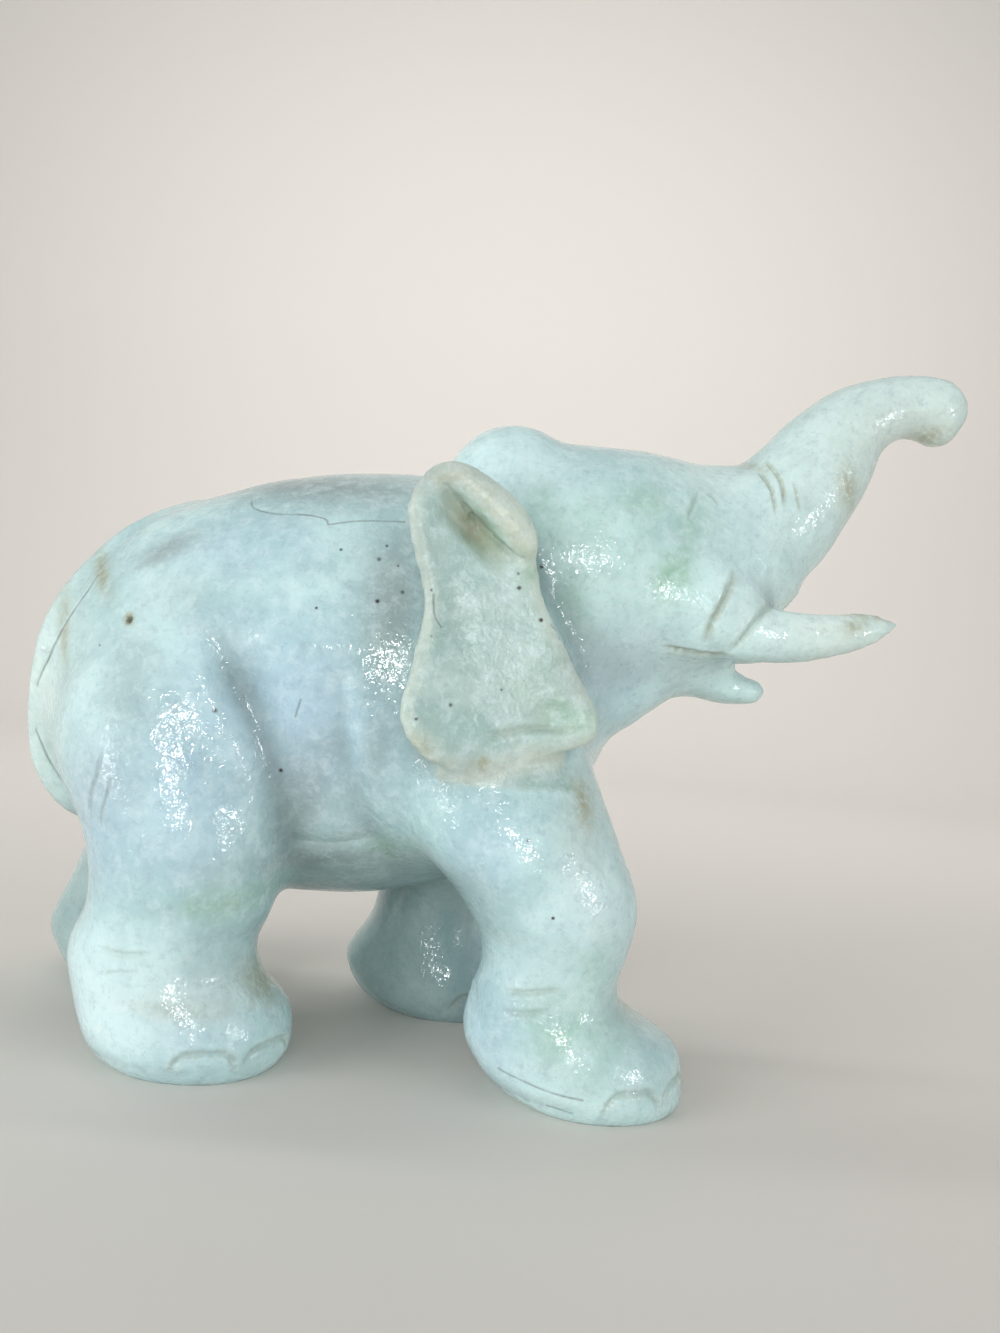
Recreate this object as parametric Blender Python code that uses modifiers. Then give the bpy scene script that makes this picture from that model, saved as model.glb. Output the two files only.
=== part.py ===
"""A carved jade elephant that walks with its trunk raised, standing on four flat soles.

The figure is one solid: the torso, head, legs, trunk, tusks, ears and tail are lofted separately,
merged into one skin, softened in the hollows as a carver would, and cut flat under the feet.
+X is the way it walks, +Y its left side and +Z up. The origin is on the ground under its middle.
Free-form places and radii are in shares of the figure's length, counted in design millimetres.
"""

import math

import bmesh
import bpy
import numpy as np
from mathutils import Matrix, Vector
from mathutils.bvhtree import BVHTree

# Driving sizes, in metres
FIGURE_LENGTH = 0.188
STANCE = 0.043  # between the middles of the left and the right feet
FRONT_STRIDE = 0.030  # how far the right front foot is ahead of the left one
REAR_STRIDE = 0.023
TORSO_WIDTH = 0.070
EAR_THICKNESS = 0.0050
TUSK_SPREAD = 0.034  # between the two tusks, side to side
TAIL_WIDTH = 0.0075
SKIN_VOXEL = 0.0010
HOLLOW_PASSES = 28  # how far the creases between the broad masses are filled
CRISP_PASSES = 4  # the same where ears, tusks and tail stand on them
SKIN_TRIANGLES = 9400
FRONT_FOOT_X = 0.0094  # the middle of a front sole, before its stride
REAR_FOOT_X = -0.0625
NAIL_HEIGHT = 0.0065
NAIL_GROOVE = 0.0012  # half the width of the groove around a nail
NAIL_DEPTH = 0.0007

SHARES = 188
MM = FIGURE_LENGTH / SHARES  # one design millimetre
RING_SIDES = 40
RINGS_PER_SPAN = 8
RIGHT, LEFT = -1, 1
EAR_DISH = 0.008  # how fast both edges of a flap swing out, per design millimetre
EAR_STEPS = 6
TAIL_HUB = (-58.0, 68.0)  # inside the hips, from the side as (x, z)
TAIL_LIFT = -1.0  # the tail lies a little sunk into the rump
HOCK_TRIM = 1.8  # the right rear leg is hollower behind

LINE_STEPS = 12
FADE_WIDTHS = 2.5  # how many half widths from its ends a carved line reaches its depth
RIDGE_STEPS = 12
STEP_WIDTH = 5.0  # how far beside a ridge the belly reaches its depth
STEP_RUN_OUT = 14.0  # how far beyond that it rises again
STEP_FADE = 17.0  # how far down from its upper end a ridge reaches its height
NAIL_STEPS = 14
NAIL_SPAN = 42.0  # degrees around the foot
NAIL_FACINGS = (-64.0, -20.0, 24.0, 68.0)  # degrees outward from straight ahead

# The thigh's front edge and the shoulder's rear edge, from the side as (x, z)
THIGH_RIDGE = [(-57.0, 82.0), (-52.5, 71.5), (-46.3, 60.0), (-43.0, 51.0), (-40.8, 42.0), (-38.0, 28.0)]
SHOULDER_RIDGE = [(-24.5, 80.0), (-23.6, 69.0), (-21.6, 60.0), (-18.5, 51.0), (-13.0, 41.0), (-5.0, 28.0)]
THIGH_FALL, SHOULDER_FALL = 4.8, 3.6  # how deep the belly is set back beside each ridge

# Carved lines: points from the side as (x, z), half of the groove's width, and its depth
EAR_HOLLOWS = [
    ([(-13.6, 107.8), (-10.4, 104.8), (-7.0, 101.8), (-3.2, 98.6), (0.6, 96.3)], 3.8, 2.5),
    ([(-10.5, 98.0), (-9.5, 90.0), (-8.0, 82.0), (-5.0, 75.0)], 4.8, 0.9),
    ([(4.0, 69.8), (9.5, 71.0), (12.8, 71.4), (15.0, 72.6)], 3.4, 1.2),
]
BODY_LINES = [
    ([(-67.5, 57.5), (-68.0, 53.0), (-68.9, 49.8), (-69.3, 45.0)], 1.4, 0.6),
    ([(-38.7, 43.0), (-32.8, 41.9), (-26.3, 42.5), (-19.9, 44.8)], 2.4, 0.7),
]
FACE_LINES = [
    ([(42.9, 101.3), (40.9, 96.0), (38.7, 90.6), (38.1, 86.3)], 1.7, 1.1),
    ([(51.0, 96.0), (48.0, 92.9), (46.3, 90.4), (44.2, 86.7), (43.3, 85.1)], 1.5, 1.0),
    ([(32.8, 84.9), (37.7, 84.6), (43.5, 84.8)], 1.5, 1.1),
    ([(47.7, 123.1), (50.1, 118.9), (51.3, 113.4)], 1.2, 0.6),
    ([(49.3, 125.5), (52.0, 120.7), (53.1, 114.8)], 1.2, 0.6),
    ([(34.7, 114.9), (33.6, 112.3), (32.7, 109.7)], 1.2, 0.5),
    ([(36.5, 115.8), (37.9, 115.6), (39.4, 113.8)], 1.1, 0.4),
]
FRONT_LEG_LINES = [
    ([(5.7, 21.0), (10.7, 22.0), (15.8, 23.2)], 1.2, 0.6),
    ([(6.0, 17.7), (10.1, 18.3), (14.2, 19.4)], 1.2, 0.6),
]
REAR_LEG_LINES = [
    ([(-65.6, 22.5), (-60.0, 22.5), (-55.3, 22.9)], 1.2, 0.6),
    ([(-64.2, 18.5), (-57.2, 19.4)], 1.2, 0.6),
]

JADE_COLOUR = (0.72, 0.80, 0.74, 1.0)
JADE_ROUGHNESS = 0.16


def between(before, start, end, after, t):
    """A Catmull-Rom value at t, from start to end."""
    return 0.5 * (
        2 * start
        + (end - before) * t
        + (2 * before - 5 * start + 4 * end - after) * t**2
        + (3 * start - before - 3 * end + after) * t**3
    )


def smooth_stations(stations):
    """The stations with RINGS_PER_SPAN rows in each span, on smooth curves through them."""
    rows = np.array(stations, float)
    padded = np.vstack([2 * rows[0] - rows[1], rows, 2 * rows[-1] - rows[-2]])
    found = [
        between(*padded[span : span + 4], step / RINGS_PER_SPAN)
        for span in range(len(rows) - 1)
        for step in range(RINGS_PER_SPAN)
    ]
    return np.array([*found, rows[-1]])


def follow(points, steps):
    """Points along a smooth open line through the points given."""
    rows = np.array(points, float)
    padded = np.vstack([2 * rows[0] - rows[1], rows, 2 * rows[-1] - rows[-2]])
    found = [between(*padded[span : span + 4], k / steps) for span in range(len(rows) - 1) for k in range(steps)]
    return np.array([*found, rows[-1]])


def loft(name, stations, level=False):
    """A closed skin through oval rings. A station is x, y, z, then the radius of its ring across
    the path and the radius sideways. The rings stand square to the path, or all lie level."""
    rows = smooth_stations(stations)
    centres = rows[:, :3] * MM
    along = np.gradient(centres, axis=0)
    bm = bmesh.new()
    rings = []
    for centre, tangent, (deep, wide) in zip(centres, along, rows[:, 3:]):
        forward = Vector((0, 0, -1)) if level else Vector(tangent).normalized()
        side = (Vector((0, 1, 0)) - forward * forward.y).normalized()
        upright = side.cross(forward)
        deep, wide = abs(deep) * MM, abs(wide) * MM
        angles = (2 * math.pi * k / RING_SIDES for k in range(RING_SIDES))
        rings.append(
            [
                bm.verts.new(Vector(centre) + upright * deep * math.cos(a) + side * wide * math.sin(a))
                for a in angles
            ]
        )
    for ring, following in zip(rings, rings[1:]):
        for k in range(RING_SIDES):
            j = (k + 1) % RING_SIDES
            bm.faces.new((ring[k], ring[j], following[j], following[k]))
    bm.faces.new(rings[0])
    bm.faces.new(rings[-1])
    bmesh.ops.recalc_face_normals(bm, faces=bm.faces)
    mesh = bpy.data.meshes.new(name)
    bm.to_mesh(mesh)
    bm.free()
    return mesh


def ball(name, centre, radii):
    """An ellipsoid, in design millimetres."""
    bm = bmesh.new()
    bmesh.ops.create_uvsphere(bm, u_segments=RING_SIDES, v_segments=RING_SIDES // 2, radius=1)
    bm.transform(Matrix.Translation(Vector(centre) * MM) @ Matrix.Diagonal((*(Vector(radii) * MM), 1)))
    mesh = bpy.data.meshes.new(name)
    bm.to_mesh(mesh)
    bm.free()
    return mesh


def torso():
    half = TORSO_WIDTH / 2 / MM
    return loft(
        "torso",
        [
            (-92.2, 0, 62.0, 2.0, 0.05 * half),
            (-90.5, 0, 62.0, 13.0, 0.33 * half),
            (-85.6, 0, 63.0, 22.4, 0.56 * half),
            (-76.4, 0, 65.2, 30.0, 0.78 * half),
            (-62.0, 0, 68.5, 37.5, 0.93 * half),
            (-45.0, 0, 70.5, 42.2, half),
            (-28.0, 0, 72.5, 43.5, 0.98 * half),
            (-10.0, 0, 76.0, 41.0, 0.90 * half),
            (4.0, 0, 78.0, 32.0, 0.78 * half),
            (14.0, 0, 81.0, 22.5, 0.62 * half),
            (22.0, 0, 84.0, 8.0, 0.30 * half),
        ],
    )


def skull():
    return loft(
        "skull",
        [
            (-16.0, 0, 106.0, 6.0, 7.0),
            (-11.0, 0, 105.0, 16.0, 16.0),
            (1.0, 0, 102.0, 23.5, 23.5),
            (16.0, 0, 100.5, 25.5, 25.0),
            (30.0, 0, 101.0, 25.0, 22.5),
            (41.0, 0, 104.0, 22.5, 18.5),
            (50.0, 0, 108.5, 16.5, 15.0),
            (57.0, 0, 113.0, 8.0, 10.0),
        ],
    )


def crown(side):
    return ball("crown", (-1.0, 6.5 * side, 113.5), (14.0, 12.5, 14.0))


def trunk():
    return loft(
        "trunk",
        [
            (36.0, 0, 107.0, 17.5, 15.5),
            (51.0, 0, 112.5, 14.4, 12.8),
            (58.6, 0, 120.8, 12.2, 11.0),
            (63.8, 0, 129.2, 10.8, 9.6),
            (67.8, 0, 134.9, 8.8, 8.4),
            (72.3, 0, 138.3, 7.4, 7.4),
            (78.0, 0, 140.6, 6.5, 6.8),
            (83.5, 0, 141.0, 6.5, 6.6),
            (87.4, 0, 140.4, 6.2, 6.2),
            (91.0, 0, 139.8, 3.6, 3.8),
            (92.2, 0, 139.6, 0.8, 0.9),
        ],
    )


def trunk_tip():
    return ball("trunk_tip", (86.2, 0, 137.4), (4.6, 5.2, 4.4))


def tusk(side):
    y = side * TUSK_SPREAD / 2 / MM
    return loft(
        "tusk",
        [
            (36.0, y - 4 * side, 91.0, 6.0, 5.2),
            (44.0, y - 1.5 * side, 89.8, 5.8, 5.0),
            (50.0, y, 89.3, 5.4, 4.7),
            (56.0, y + 0.6 * side, 89.3, 4.9, 4.3),
            (62.5, y + 0.8 * side, 90.4, 4.2, 3.7),
            (68.0, y + 0.6 * side, 91.8, 3.4, 2.9),
            (72.5, y, 93.0, 2.1, 1.9),
            (76.2, y - 0.5 * side, 94.0, 0.3, 0.3),
        ],
    )


def tusk_sheath(side):
    """The cheek's fold, out of which a tusk grows."""
    y = side * TUSK_SPREAD / 2 / MM
    return loft(
        "tusk_sheath",
        [
            (16.0, y - 6.0 * side, 99.0, 8.0, 8.0),
            (26.0, y - 3.5 * side, 96.5, 11.5, 9.5),
            (36.0, y - 2.0 * side, 94.5, 11.0, 8.0),
            (43.0, y - 1.6 * side, 92.5, 8.6, 6.8),
            (47.5, y - 1.4 * side, 91.2, 6.0, 5.6),
            (49.5, y - 1.2 * side, 90.6, 3.0, 3.6),
        ],
    )


def throat():
    """The neck's lower edge, from the chest up to the jaw."""
    return loft(
        "throat",
        [
            (2.0, 0, 76.0, 10.0, 15.0),
            (12.0, 0, 75.5, 12.0, 15.0),
            (20.0, 0, 77.0, 11.5, 14.0),
            (27.0, 0, 79.8, 9.6, 12.5),
            (34.0, 0, 82.5, 7.2, 10.5),
            (40.0, 0, 84.0, 4.5, 8.0),
        ],
    )


def jaw():
    return loft(
        "jaw",
        [
            (22.0, 0, 86.0, 12.0, 15.0),
            (32.0, 0, 82.0, 6.5, 11.5),
            (40.0, 0, 80.6, 4.6, 8.6),
            (46.0, 0, 78.8, 3.7, 6.6),
            (51.0, 0, 78.2, 3.0, 5.0),
            (54.0, 0, 78.6, 2.3, 3.6),
            (55.4, 0, 78.9, 0.6, 1.0),
        ],
    )


def front_leg(side, lead):
    """A front leg from the shoulder down; lead is how far its foot is ahead of the middle."""
    y = side * STANCE / 2 / MM
    foot_x = FRONT_FOOT_X / MM + lead
    return loft(
        "front_leg",
        [
            (-6.0, 10.0 * side, 90.0, 13.0, 13.0),
            (-5.0, 14.5 * side, 76.0, 19.0, 17.5),
            (-3.5 + 0.15 * lead, 17.5 * side, 60.0, 21.0, 18.0),
            (0.4 + 0.31 * lead, y, 47.0, 20.5, 16.8),
            (3.7 + 0.60 * lead, y, 36.0, 17.2, 16.2),
            (2.6 + 0.83 * lead, y, 26.0, 13.4, 14.4),
            (1.2 + 0.83 * lead, y, 18.5, 13.4, 14.2),
            (4.9 + 0.94 * lead, y, 11.0, 20.0, 16.0),
            (6.4 + 0.98 * lead, y, 5.5, 19.6, 16.6),
            (foot_x - 1.2, y, 2.2, 18.2, 15.8),
            (foot_x, y, 0.0, 15.8, 14.0),
            (foot_x + 0.2, y, -2.0, 12.0, 11.0),
        ],
        level=True,
    )


def rear_leg(side, lead):
    """A rear leg from the hip down; lead is how far its foot is ahead of the middle."""
    y = side * STANCE / 2 / MM
    foot_x = REAR_FOOT_X / MM + lead
    trim = HOCK_TRIM if side == RIGHT else 0
    return loft(
        "rear_leg",
        [
            (-62.0, 10.0 * side, 86.0, 12.0, 17.5),
            (-62.0, 16.0 * side, 72.0, 19.0, 19.6),
            (-63.0 + 0.12 * lead, 19.4 * side, 56.0, 20.6, 18.8),
            (-63.2 + 0.41 * lead + trim, y, 42.0, 20.0 - trim, 17.2),
            (-64.7 + 0.64 * lead + trim, y, 30.0, 18.8 - trim, 16.2),
            (-67.9 + 0.81 * lead, y, 20.0, 17.0, 15.0),
            (-65.9 + 1.02 * lead, y, 11.5, 19.6, 16.2),
            (-63.9 + lead, y, 5.5, 19.3, 16.6),
            (foot_x - 0.7, y, 2.2, 18.0, 15.6),
            (foot_x, y, 0.0, 15.8, 13.8),
            (foot_x + 0.2, y, -2.0, 12.0, 11.0),
        ],
        level=True,
    )


def closed_curve(points):
    """Points on a smooth closed curve through the points given."""
    rows = np.array(points, float)
    return [
        between(rows[k - 1], rows[k], rows[(k + 1) % len(rows)], rows[(k + 2) % len(rows)], step / EAR_STEPS)
        for k in range(len(rows))
        for step in range(EAR_STEPS)
    ]


def ear_slab():
    """The flap laid flat: its outline from the side, as a slab with a rounded rim."""
    outline = closed_curve(
        [
            (-11.5, 114.0),
            (-16.4, 111.6),
            (-19.0, 105.0),
            (-17.4, 97.2),
            (-14.6, 88.0),
            (-15.6, 77.5),
            (-16.7, 68.5),
            (-12.4, 61.8),
            (-3.6, 59.0),
            (5.5, 62.5),
            (15.5, 65.4),
            (18.4, 70.5),
            (12.6, 80.5),
            (6.6, 91.0),
            (3.8, 100.5),
            (-1.0, 108.6),
            (-6.0, 112.7),
        ]
    )
    rim = 0.45 * EAR_THICKNESS
    curve = bpy.data.curves.new("ear", "CURVE")
    curve.dimensions = "2D"
    curve.fill_mode = "BOTH"
    curve.bevel_depth = rim
    curve.bevel_resolution = 3
    curve.offset = -rim
    curve.extrude = EAR_THICKNESS / 2 - rim
    spline = curve.splines.new("POLY")
    spline.points.add(len(outline) - 1)
    for point, (x, z) in zip(spline.points, outline):
        point.co = (x * MM, z * MM, 0, 1)
    spline.use_cyclic_u = True
    flat = bpy.data.objects.new("ear", curve)
    bpy.context.scene.collection.objects.link(flat)
    flat.rotation_euler = (math.pi / 2, 0, 0)
    bpy.context.view_layer.update()
    mesh = bpy.data.meshes.new_from_object(flat.evaluated_get(bpy.context.evaluated_depsgraph_get()))
    mesh.transform(flat.matrix_world)
    bpy.data.objects.remove(flat)
    slab = bpy.data.objects.new("ear", mesh)
    bpy.context.scene.collection.objects.link(slab)
    merge_skin(slab)
    mesh = slab.data
    bpy.data.objects.remove(slab)
    return mesh


def ear_stand(x, z):
    """How far out the middle of the flap's thickness stands at a place seen from the side."""
    middle = -6.0 + 0.16 * max(0.0, 90.0 - z)
    return 30.8 + 0.25 * (10.0 - x) - 0.09 * (z - 70.0) + EAR_DISH * (x - middle) ** 2


def ear(side):
    """The broad flap, dished, with its rear edge swung away from the neck."""
    mesh = ear_slab()
    for v in mesh.vertices:
        v.co.y += ear_stand(v.co.x / MM, v.co.z / MM) * MM
        v.co.y *= side
    if side == RIGHT:
        mesh.flip_normals()
    return mesh


def ear_root(side):
    """What joins the front half of the flap to the side of the head and the neck."""
    return loft(
        "ear_root",
        [
            (9.0, 22.0 * side, 67.0, 4.0, 8.0),
            (8.0, 22.0 * side, 75.0, 6.5, 8.6),
            (3.0, 21.5 * side, 86.0, 7.0, 8.6),
            (-2.0, 20.0 * side, 96.0, 7.0, 9.0),
            (-6.0, 18.0 * side, 105.0, 5.5, 9.0),
        ],
    )


def ear_fold(side):
    """The lip turned over along the upper front edge of the flap."""
    along = [
        (-14.6, 110.4, 1.0, 0.8),
        (-12.2, 111.2, 2.4, 2.0),
        (-8.8, 109.9, 3.2, 2.8),
        (-5.0, 107.3, 3.7, 3.0),
        (-1.2, 104.1, 3.8, 2.9),
        (1.6, 101.2, 3.0, 2.4),
        (3.5, 99.0, 1.6, 1.4),
        (4.2, 98.0, 0.5, 0.5),
    ]
    lift = 0.75 * EAR_THICKNESS / 2 / MM + 1.2
    return loft("ear_fold", [(x, side * (ear_stand(x, z) + lift), z, deep, wide) for x, z, deep, wide in along])


def tail():
    """The tail, laid down over the rump and swung to the right. A row is the way out from inside the
    hips, in degrees backward from straight up, then how far right, and the ring's two radii."""
    half = TAIL_WIDTH / 2 / MM
    rump = skin_of(torso())
    rows = [
        (4, 1.0, 1.0, 0.4 * half),
        (16, 4.0, 1.8, 0.8 * half),
        (31, 9.5, 1.7, half),
        (50, 14.0, 1.9, half),
        (68, 17.0, 2.4, half),
        (86, 16.0, 2.3, half),
        (102, 12.5, 3.2, half),
        (116, 10.0, 4.6, 1.1 * half),
        (128, 8.0, 5.2, 1.2 * half),
        (137, 6.5, 4.4, 1.1 * half),
        (143, 5.5, 1.8, 0.5 * half),
    ]
    stations = []
    for backward, right, deep, wide in rows:
        angle = math.radians(backward)
        out = Vector((-math.sin(angle), 0, math.cos(angle)))
        start = Vector((TAIL_HUB[0], right * RIGHT, TAIL_HUB[1]))
        lies = rump.ray_cast(start + out * SHARES, -out)[0] + out * TAIL_LIFT
        stations.append((*lies, deep, wide))
    return loft("tail", stations)


def mouth_hollow():
    """What is carved out between the lower lip and the root of the trunk."""
    return loft(
        "mouth_hollow",
        [
            (32.0, 0, 85.6, 0.6, 5.0),
            (36.0, 0, 86.2, 2.4, 7.5),
            (42.0, 0, 87.2, 4.2, 9.0),
            (50.0, 0, 88.6, 6.4, 10.0),
            (60.0, 0, 90.5, 8.6, 11.0),
            (66.0, 0, 91.5, 9.0, 11.0),
        ],
    )


def body_parts():
    """The broad masses, which flow into each other."""
    front_lead, rear_lead = FRONT_STRIDE / 2 / MM, REAR_STRIDE / 2 / MM
    parts = [torso(), skull(), trunk(), trunk_tip(), throat(), jaw()]
    for side in (RIGHT, LEFT):
        parts += [front_leg(side, -side * front_lead), rear_leg(side, -side * rear_lead)]
        parts += [crown(side), tusk_sheath(side)]
    return parts


def applied_parts():
    """The thinner forms, which stand crisply on the masses."""
    parts = [tail()]
    for side in (RIGHT, LEFT):
        parts += [tusk(side), ear(side), ear_root(side), ear_fold(side)]
    return parts


def join_forms(forms):
    """One mesh that holds all the forms, still passing through each other."""
    bm = bmesh.new()
    for mesh in forms:
        bm.from_mesh(mesh)
    joined = bpy.data.meshes.new("elephant")
    bm.to_mesh(joined)
    bm.free()
    return joined


def apply_modifiers(figure):
    """Bakes the object's modifiers into its mesh."""
    evaluated = figure.evaluated_get(bpy.context.evaluated_depsgraph_get())
    mesh = bpy.data.meshes.new_from_object(evaluated)
    figure.modifiers.clear()
    figure.data = mesh


def merge_skin(figure):
    remesh = figure.modifiers.new("One skin", "REMESH")
    remesh.mode = "VOXEL"
    remesh.voxel_size = SKIN_VOXEL
    bpy.context.view_layer.update()
    apply_modifiers(figure)


def carve(figure, hollow):
    """Cuts the hollow's mesh out of the figure."""
    cutter = bpy.data.objects.new("hollow", hollow)
    figure.users_collection[0].objects.link(cutter)
    cut = figure.modifiers.new("Carve", "BOOLEAN")
    cut.operation = "DIFFERENCE"
    cut.solver = "MANIFOLD"
    cut.object = cutter
    bpy.context.view_layer.update()
    apply_modifiers(figure)
    bpy.data.objects.remove(cutter)


def vertex_array(mesh, attribute):
    """A three-number property of every vertex, such as its place, as rows of numpy."""
    values = np.empty(len(mesh.vertices) * 3)
    mesh.vertices.foreach_get(attribute, values)
    return values.reshape(-1, 3)


def set_places(mesh, places):
    mesh.vertices.foreach_set("co", places.ravel())
    mesh.update()


def soften_hollows(mesh, passes):
    """Fills the creases between limbs: points in a hollow move out to the mean of their neighbours,
    and points on a ridge stay where they are."""
    places = vertex_array(mesh, "co")
    ends = np.empty(len(mesh.edges) * 2, int)
    mesh.edges.foreach_get("vertices", ends)
    a, b = ends.reshape(-1, 2).T
    links = np.bincount(np.concatenate([a, b]), minlength=len(places))[:, None]
    for _ in range(passes):
        total = np.stack(
            [
                np.bincount(a, places[b, k], len(places)) + np.bincount(b, places[a, k], len(places))
                for k in range(3)
            ],
            axis=1,
        )
        pull = total / links - places
        set_places(mesh, places)
        normals = vertex_array(mesh, "normal")
        outward = np.clip((pull * normals).sum(1), 0, None)
        places = places + normals * outward[:, None] * 0.9
    set_places(mesh, places)


def skin_of(mesh):
    """The mesh as a surface to lay lines on, in design millimetres."""
    return BVHTree.FromPolygons([v.co / MM for v in mesh.vertices], [f.vertices for f in mesh.polygons])


def side_line(skin, points, side):
    """Points on the skin's flank along a smooth line seen from the side."""
    rays = [Vector((x, side * SHARES, z)) for x, z in follow(points, LINE_STEPS)]
    hits = [skin.ray_cast(ray, Vector((0, -side, 0)))[0] for ray in rays]
    return [hit for hit in hits if hit]


def nail_line(skin, foot, facing):
    """Points on the skin along the arched edge of one nail; foot is the middle of the foot on the
    ground and facing is the way the nail looks, in degrees from straight ahead."""
    reach = 0.7 * STANCE / MM  # outside this foot, and short of the other
    found = []
    for step in range(-NAIL_STEPS, NAIL_STEPS + 1):
        share = step / NAIL_STEPS
        heading = math.radians(facing + share * NAIL_SPAN / 2)
        away = Vector((math.cos(heading), math.sin(heading), 0))
        height = Vector((0, 0, NAIL_HEIGHT / MM * math.sqrt(1 - 0.96 * share**4)))
        hit = skin.ray_cast(foot + height + away * reach, -away)[0]
        if hit:
            found.append(hit)
    return found


def cut_line(places, normals, points, half_width, depth):
    """Presses a soft groove into the places along the points, fading out at both ends."""
    line = np.array(points)
    run = np.cumsum(np.r_[0, np.linalg.norm(np.diff(line, axis=0), axis=1)])
    fade = np.clip(np.minimum(run, run[-1] - run) / (FADE_WIDTHS * half_width), 0, 1)
    inside = (places > line.min(0) - half_width) & (places < line.max(0) + half_width)
    near = np.flatnonzero(inside.all(axis=1))
    gaps = np.linalg.norm(places[near, None] - line[None], axis=2) / half_width
    press = (1 - np.minimum(gaps.min(axis=1), 1) ** 2) ** 2 * fade[gaps.argmin(axis=1)]
    places[near] -= normals[near] * (depth * press)[:, None]


def carve_lines(mesh):
    """The carver's hollows and lines that show from a step away: the dish of the ears, the folds of
    the face and trunk, the belly's seam, and the creases and nails of the feet."""
    skin = skin_of(mesh)
    front, rear = FRONT_STRIDE / MM, REAR_STRIDE / MM
    cuts = []
    for side in (RIGHT, LEFT):
        behind = 0.0 if side == RIGHT else 1.0
        for points, half_width, depth in EAR_HOLLOWS + BODY_LINES + FACE_LINES:
            cuts.append((side_line(skin, points, side), half_width, depth))
        for lines, stride in ((FRONT_LEG_LINES, front), (REAR_LEG_LINES, rear)):
            for points, half_width, depth in lines:
                moved = [(x - behind * stride, z) for x, z in points]
                cuts.append((side_line(skin, moved, side), half_width, depth))
        for foot_x, stride in ((FRONT_FOOT_X / MM, front), (REAR_FOOT_X / MM, rear)):
            foot = Vector((foot_x - side * stride / 2, side * STANCE / 2 / MM, 0))  # right foot leads
            for facing in NAIL_FACINGS:
                cuts.append((nail_line(skin, foot, side * facing), NAIL_GROOVE / MM, NAIL_DEPTH / MM))
    places, normals = vertex_array(mesh, "co") / MM, vertex_array(mesh, "normal")
    for side in (RIGHT, LEFT):
        set_belly_back(places, side)
    for points, half_width, depth in cuts:
        if len(points) > 1:
            cut_line(places, normals, points, half_width, depth)
    set_places(mesh, places * MM)


def thin_out(figure):
    """Fewer triangles, most of them where the form turns fast."""
    figure.data.calc_loop_triangles()
    reduce = figure.modifiers.new("Fewer faces", "DECIMATE")
    reduce.ratio = min(1.0, SKIN_TRIANGLES / len(figure.data.loop_triangles))
    apply_modifiers(figure)


def fall_beside(places, side, points, ahead, depth):
    """Sets the belly back beside a ridge: steeply next to it, then rising softly again. The flesh falls
    ahead of the ridge (1) or behind it (-1)."""
    line = follow(points, RIDGE_STEPS)
    run = np.cumsum(np.r_[0, np.linalg.norm(np.diff(line, axis=0), axis=1)])
    fade = np.clip(run / STEP_FADE, 0, 1)
    seen = places[:, ::2]
    reach = STEP_WIDTH + STEP_RUN_OUT
    inside = ((seen > line.min(0) - reach) & (seen < line.max(0) + reach)).all(axis=1)
    near = np.flatnonzero(inside & (places[:, 1] * side > 0))
    gaps = np.linalg.norm(seen[near, None] - line[None], axis=2)
    nearest = gaps.argmin(axis=1)
    way, off = np.gradient(line, axis=0)[nearest], seen[near] - line[nearest]
    beside = ahead * (way[:, 0] * off[:, 1] - way[:, 1] * off[:, 0]) > 0
    fall = np.clip(gaps.min(axis=1) / STEP_WIDTH, 0, 1)
    rise = np.clip((gaps.min(axis=1) - STEP_WIDTH) / STEP_RUN_OUT, 0, 1)
    press = fall**2 * (3 - 2 * fall) * (1 - rise**2 * (3 - 2 * rise)) * beside * fade[nearest]
    places[near, 1] *= 1 - depth * MM / (TORSO_WIDTH / 2) * press


def set_belly_back(places, side):
    """Sets the belly back between the thigh and the shoulder."""
    thigh_back, shoulder_back = (0.0, 0.0) if side == RIGHT else (REAR_STRIDE / MM, FRONT_STRIDE / MM)
    for ridge, stride, ahead, depth in (
        (THIGH_RIDGE, thigh_back, 1, THIGH_FALL),
        (SHOULDER_RIDGE, shoulder_back, -1, SHOULDER_FALL),
    ):
        moved = [(x - stride * leg_share(z), z) for x, z in ridge]
        fall_beside(places, side, moved, ahead, depth)


def leg_share(z):
    """How much of a leg's stride shows at this height: none at the hip and all of it at the ankle."""
    return min(1.0, max(0.0, (70.0 - z) / 50.0)) ** 1.3


def cut_soles(mesh):
    """Cuts the feet off flat on the ground."""
    bm = bmesh.new()
    bm.from_mesh(mesh)
    everything = [*bm.verts, *bm.edges, *bm.faces]
    bmesh.ops.bisect_plane(bm, geom=everything, plane_co=(0, 0, 0), plane_no=(0, 0, 1), clear_inner=True)
    open_edges = [e for e in bm.edges if e.is_boundary]
    bmesh.ops.holes_fill(bm, edges=open_edges)
    bmesh.ops.recalc_face_normals(bm, faces=bm.faces)
    bmesh.ops.triangulate(bm, faces=bm.faces)
    bm.to_mesh(mesh)
    bm.free()


def centre_on_origin(mesh):
    """Sets the middle of the figure's footprint box on the origin."""
    xs = [v.co.x for v in mesh.vertices]
    ys = [v.co.y for v in mesh.vertices]
    mesh.transform(Matrix.Translation((-(min(xs) + max(xs)) / 2, -(min(ys) + max(ys)) / 2, 0)))


def jade():
    material = bpy.data.materials.new("jade")
    material.use_nodes = True
    shader = material.node_tree.nodes["Principled BSDF"]
    shader.inputs["Base Color"].default_value = JADE_COLOUR
    shader.inputs["Roughness"].default_value = JADE_ROUGHNESS
    shader.inputs["Metallic"].default_value = 0.0
    return material


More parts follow.
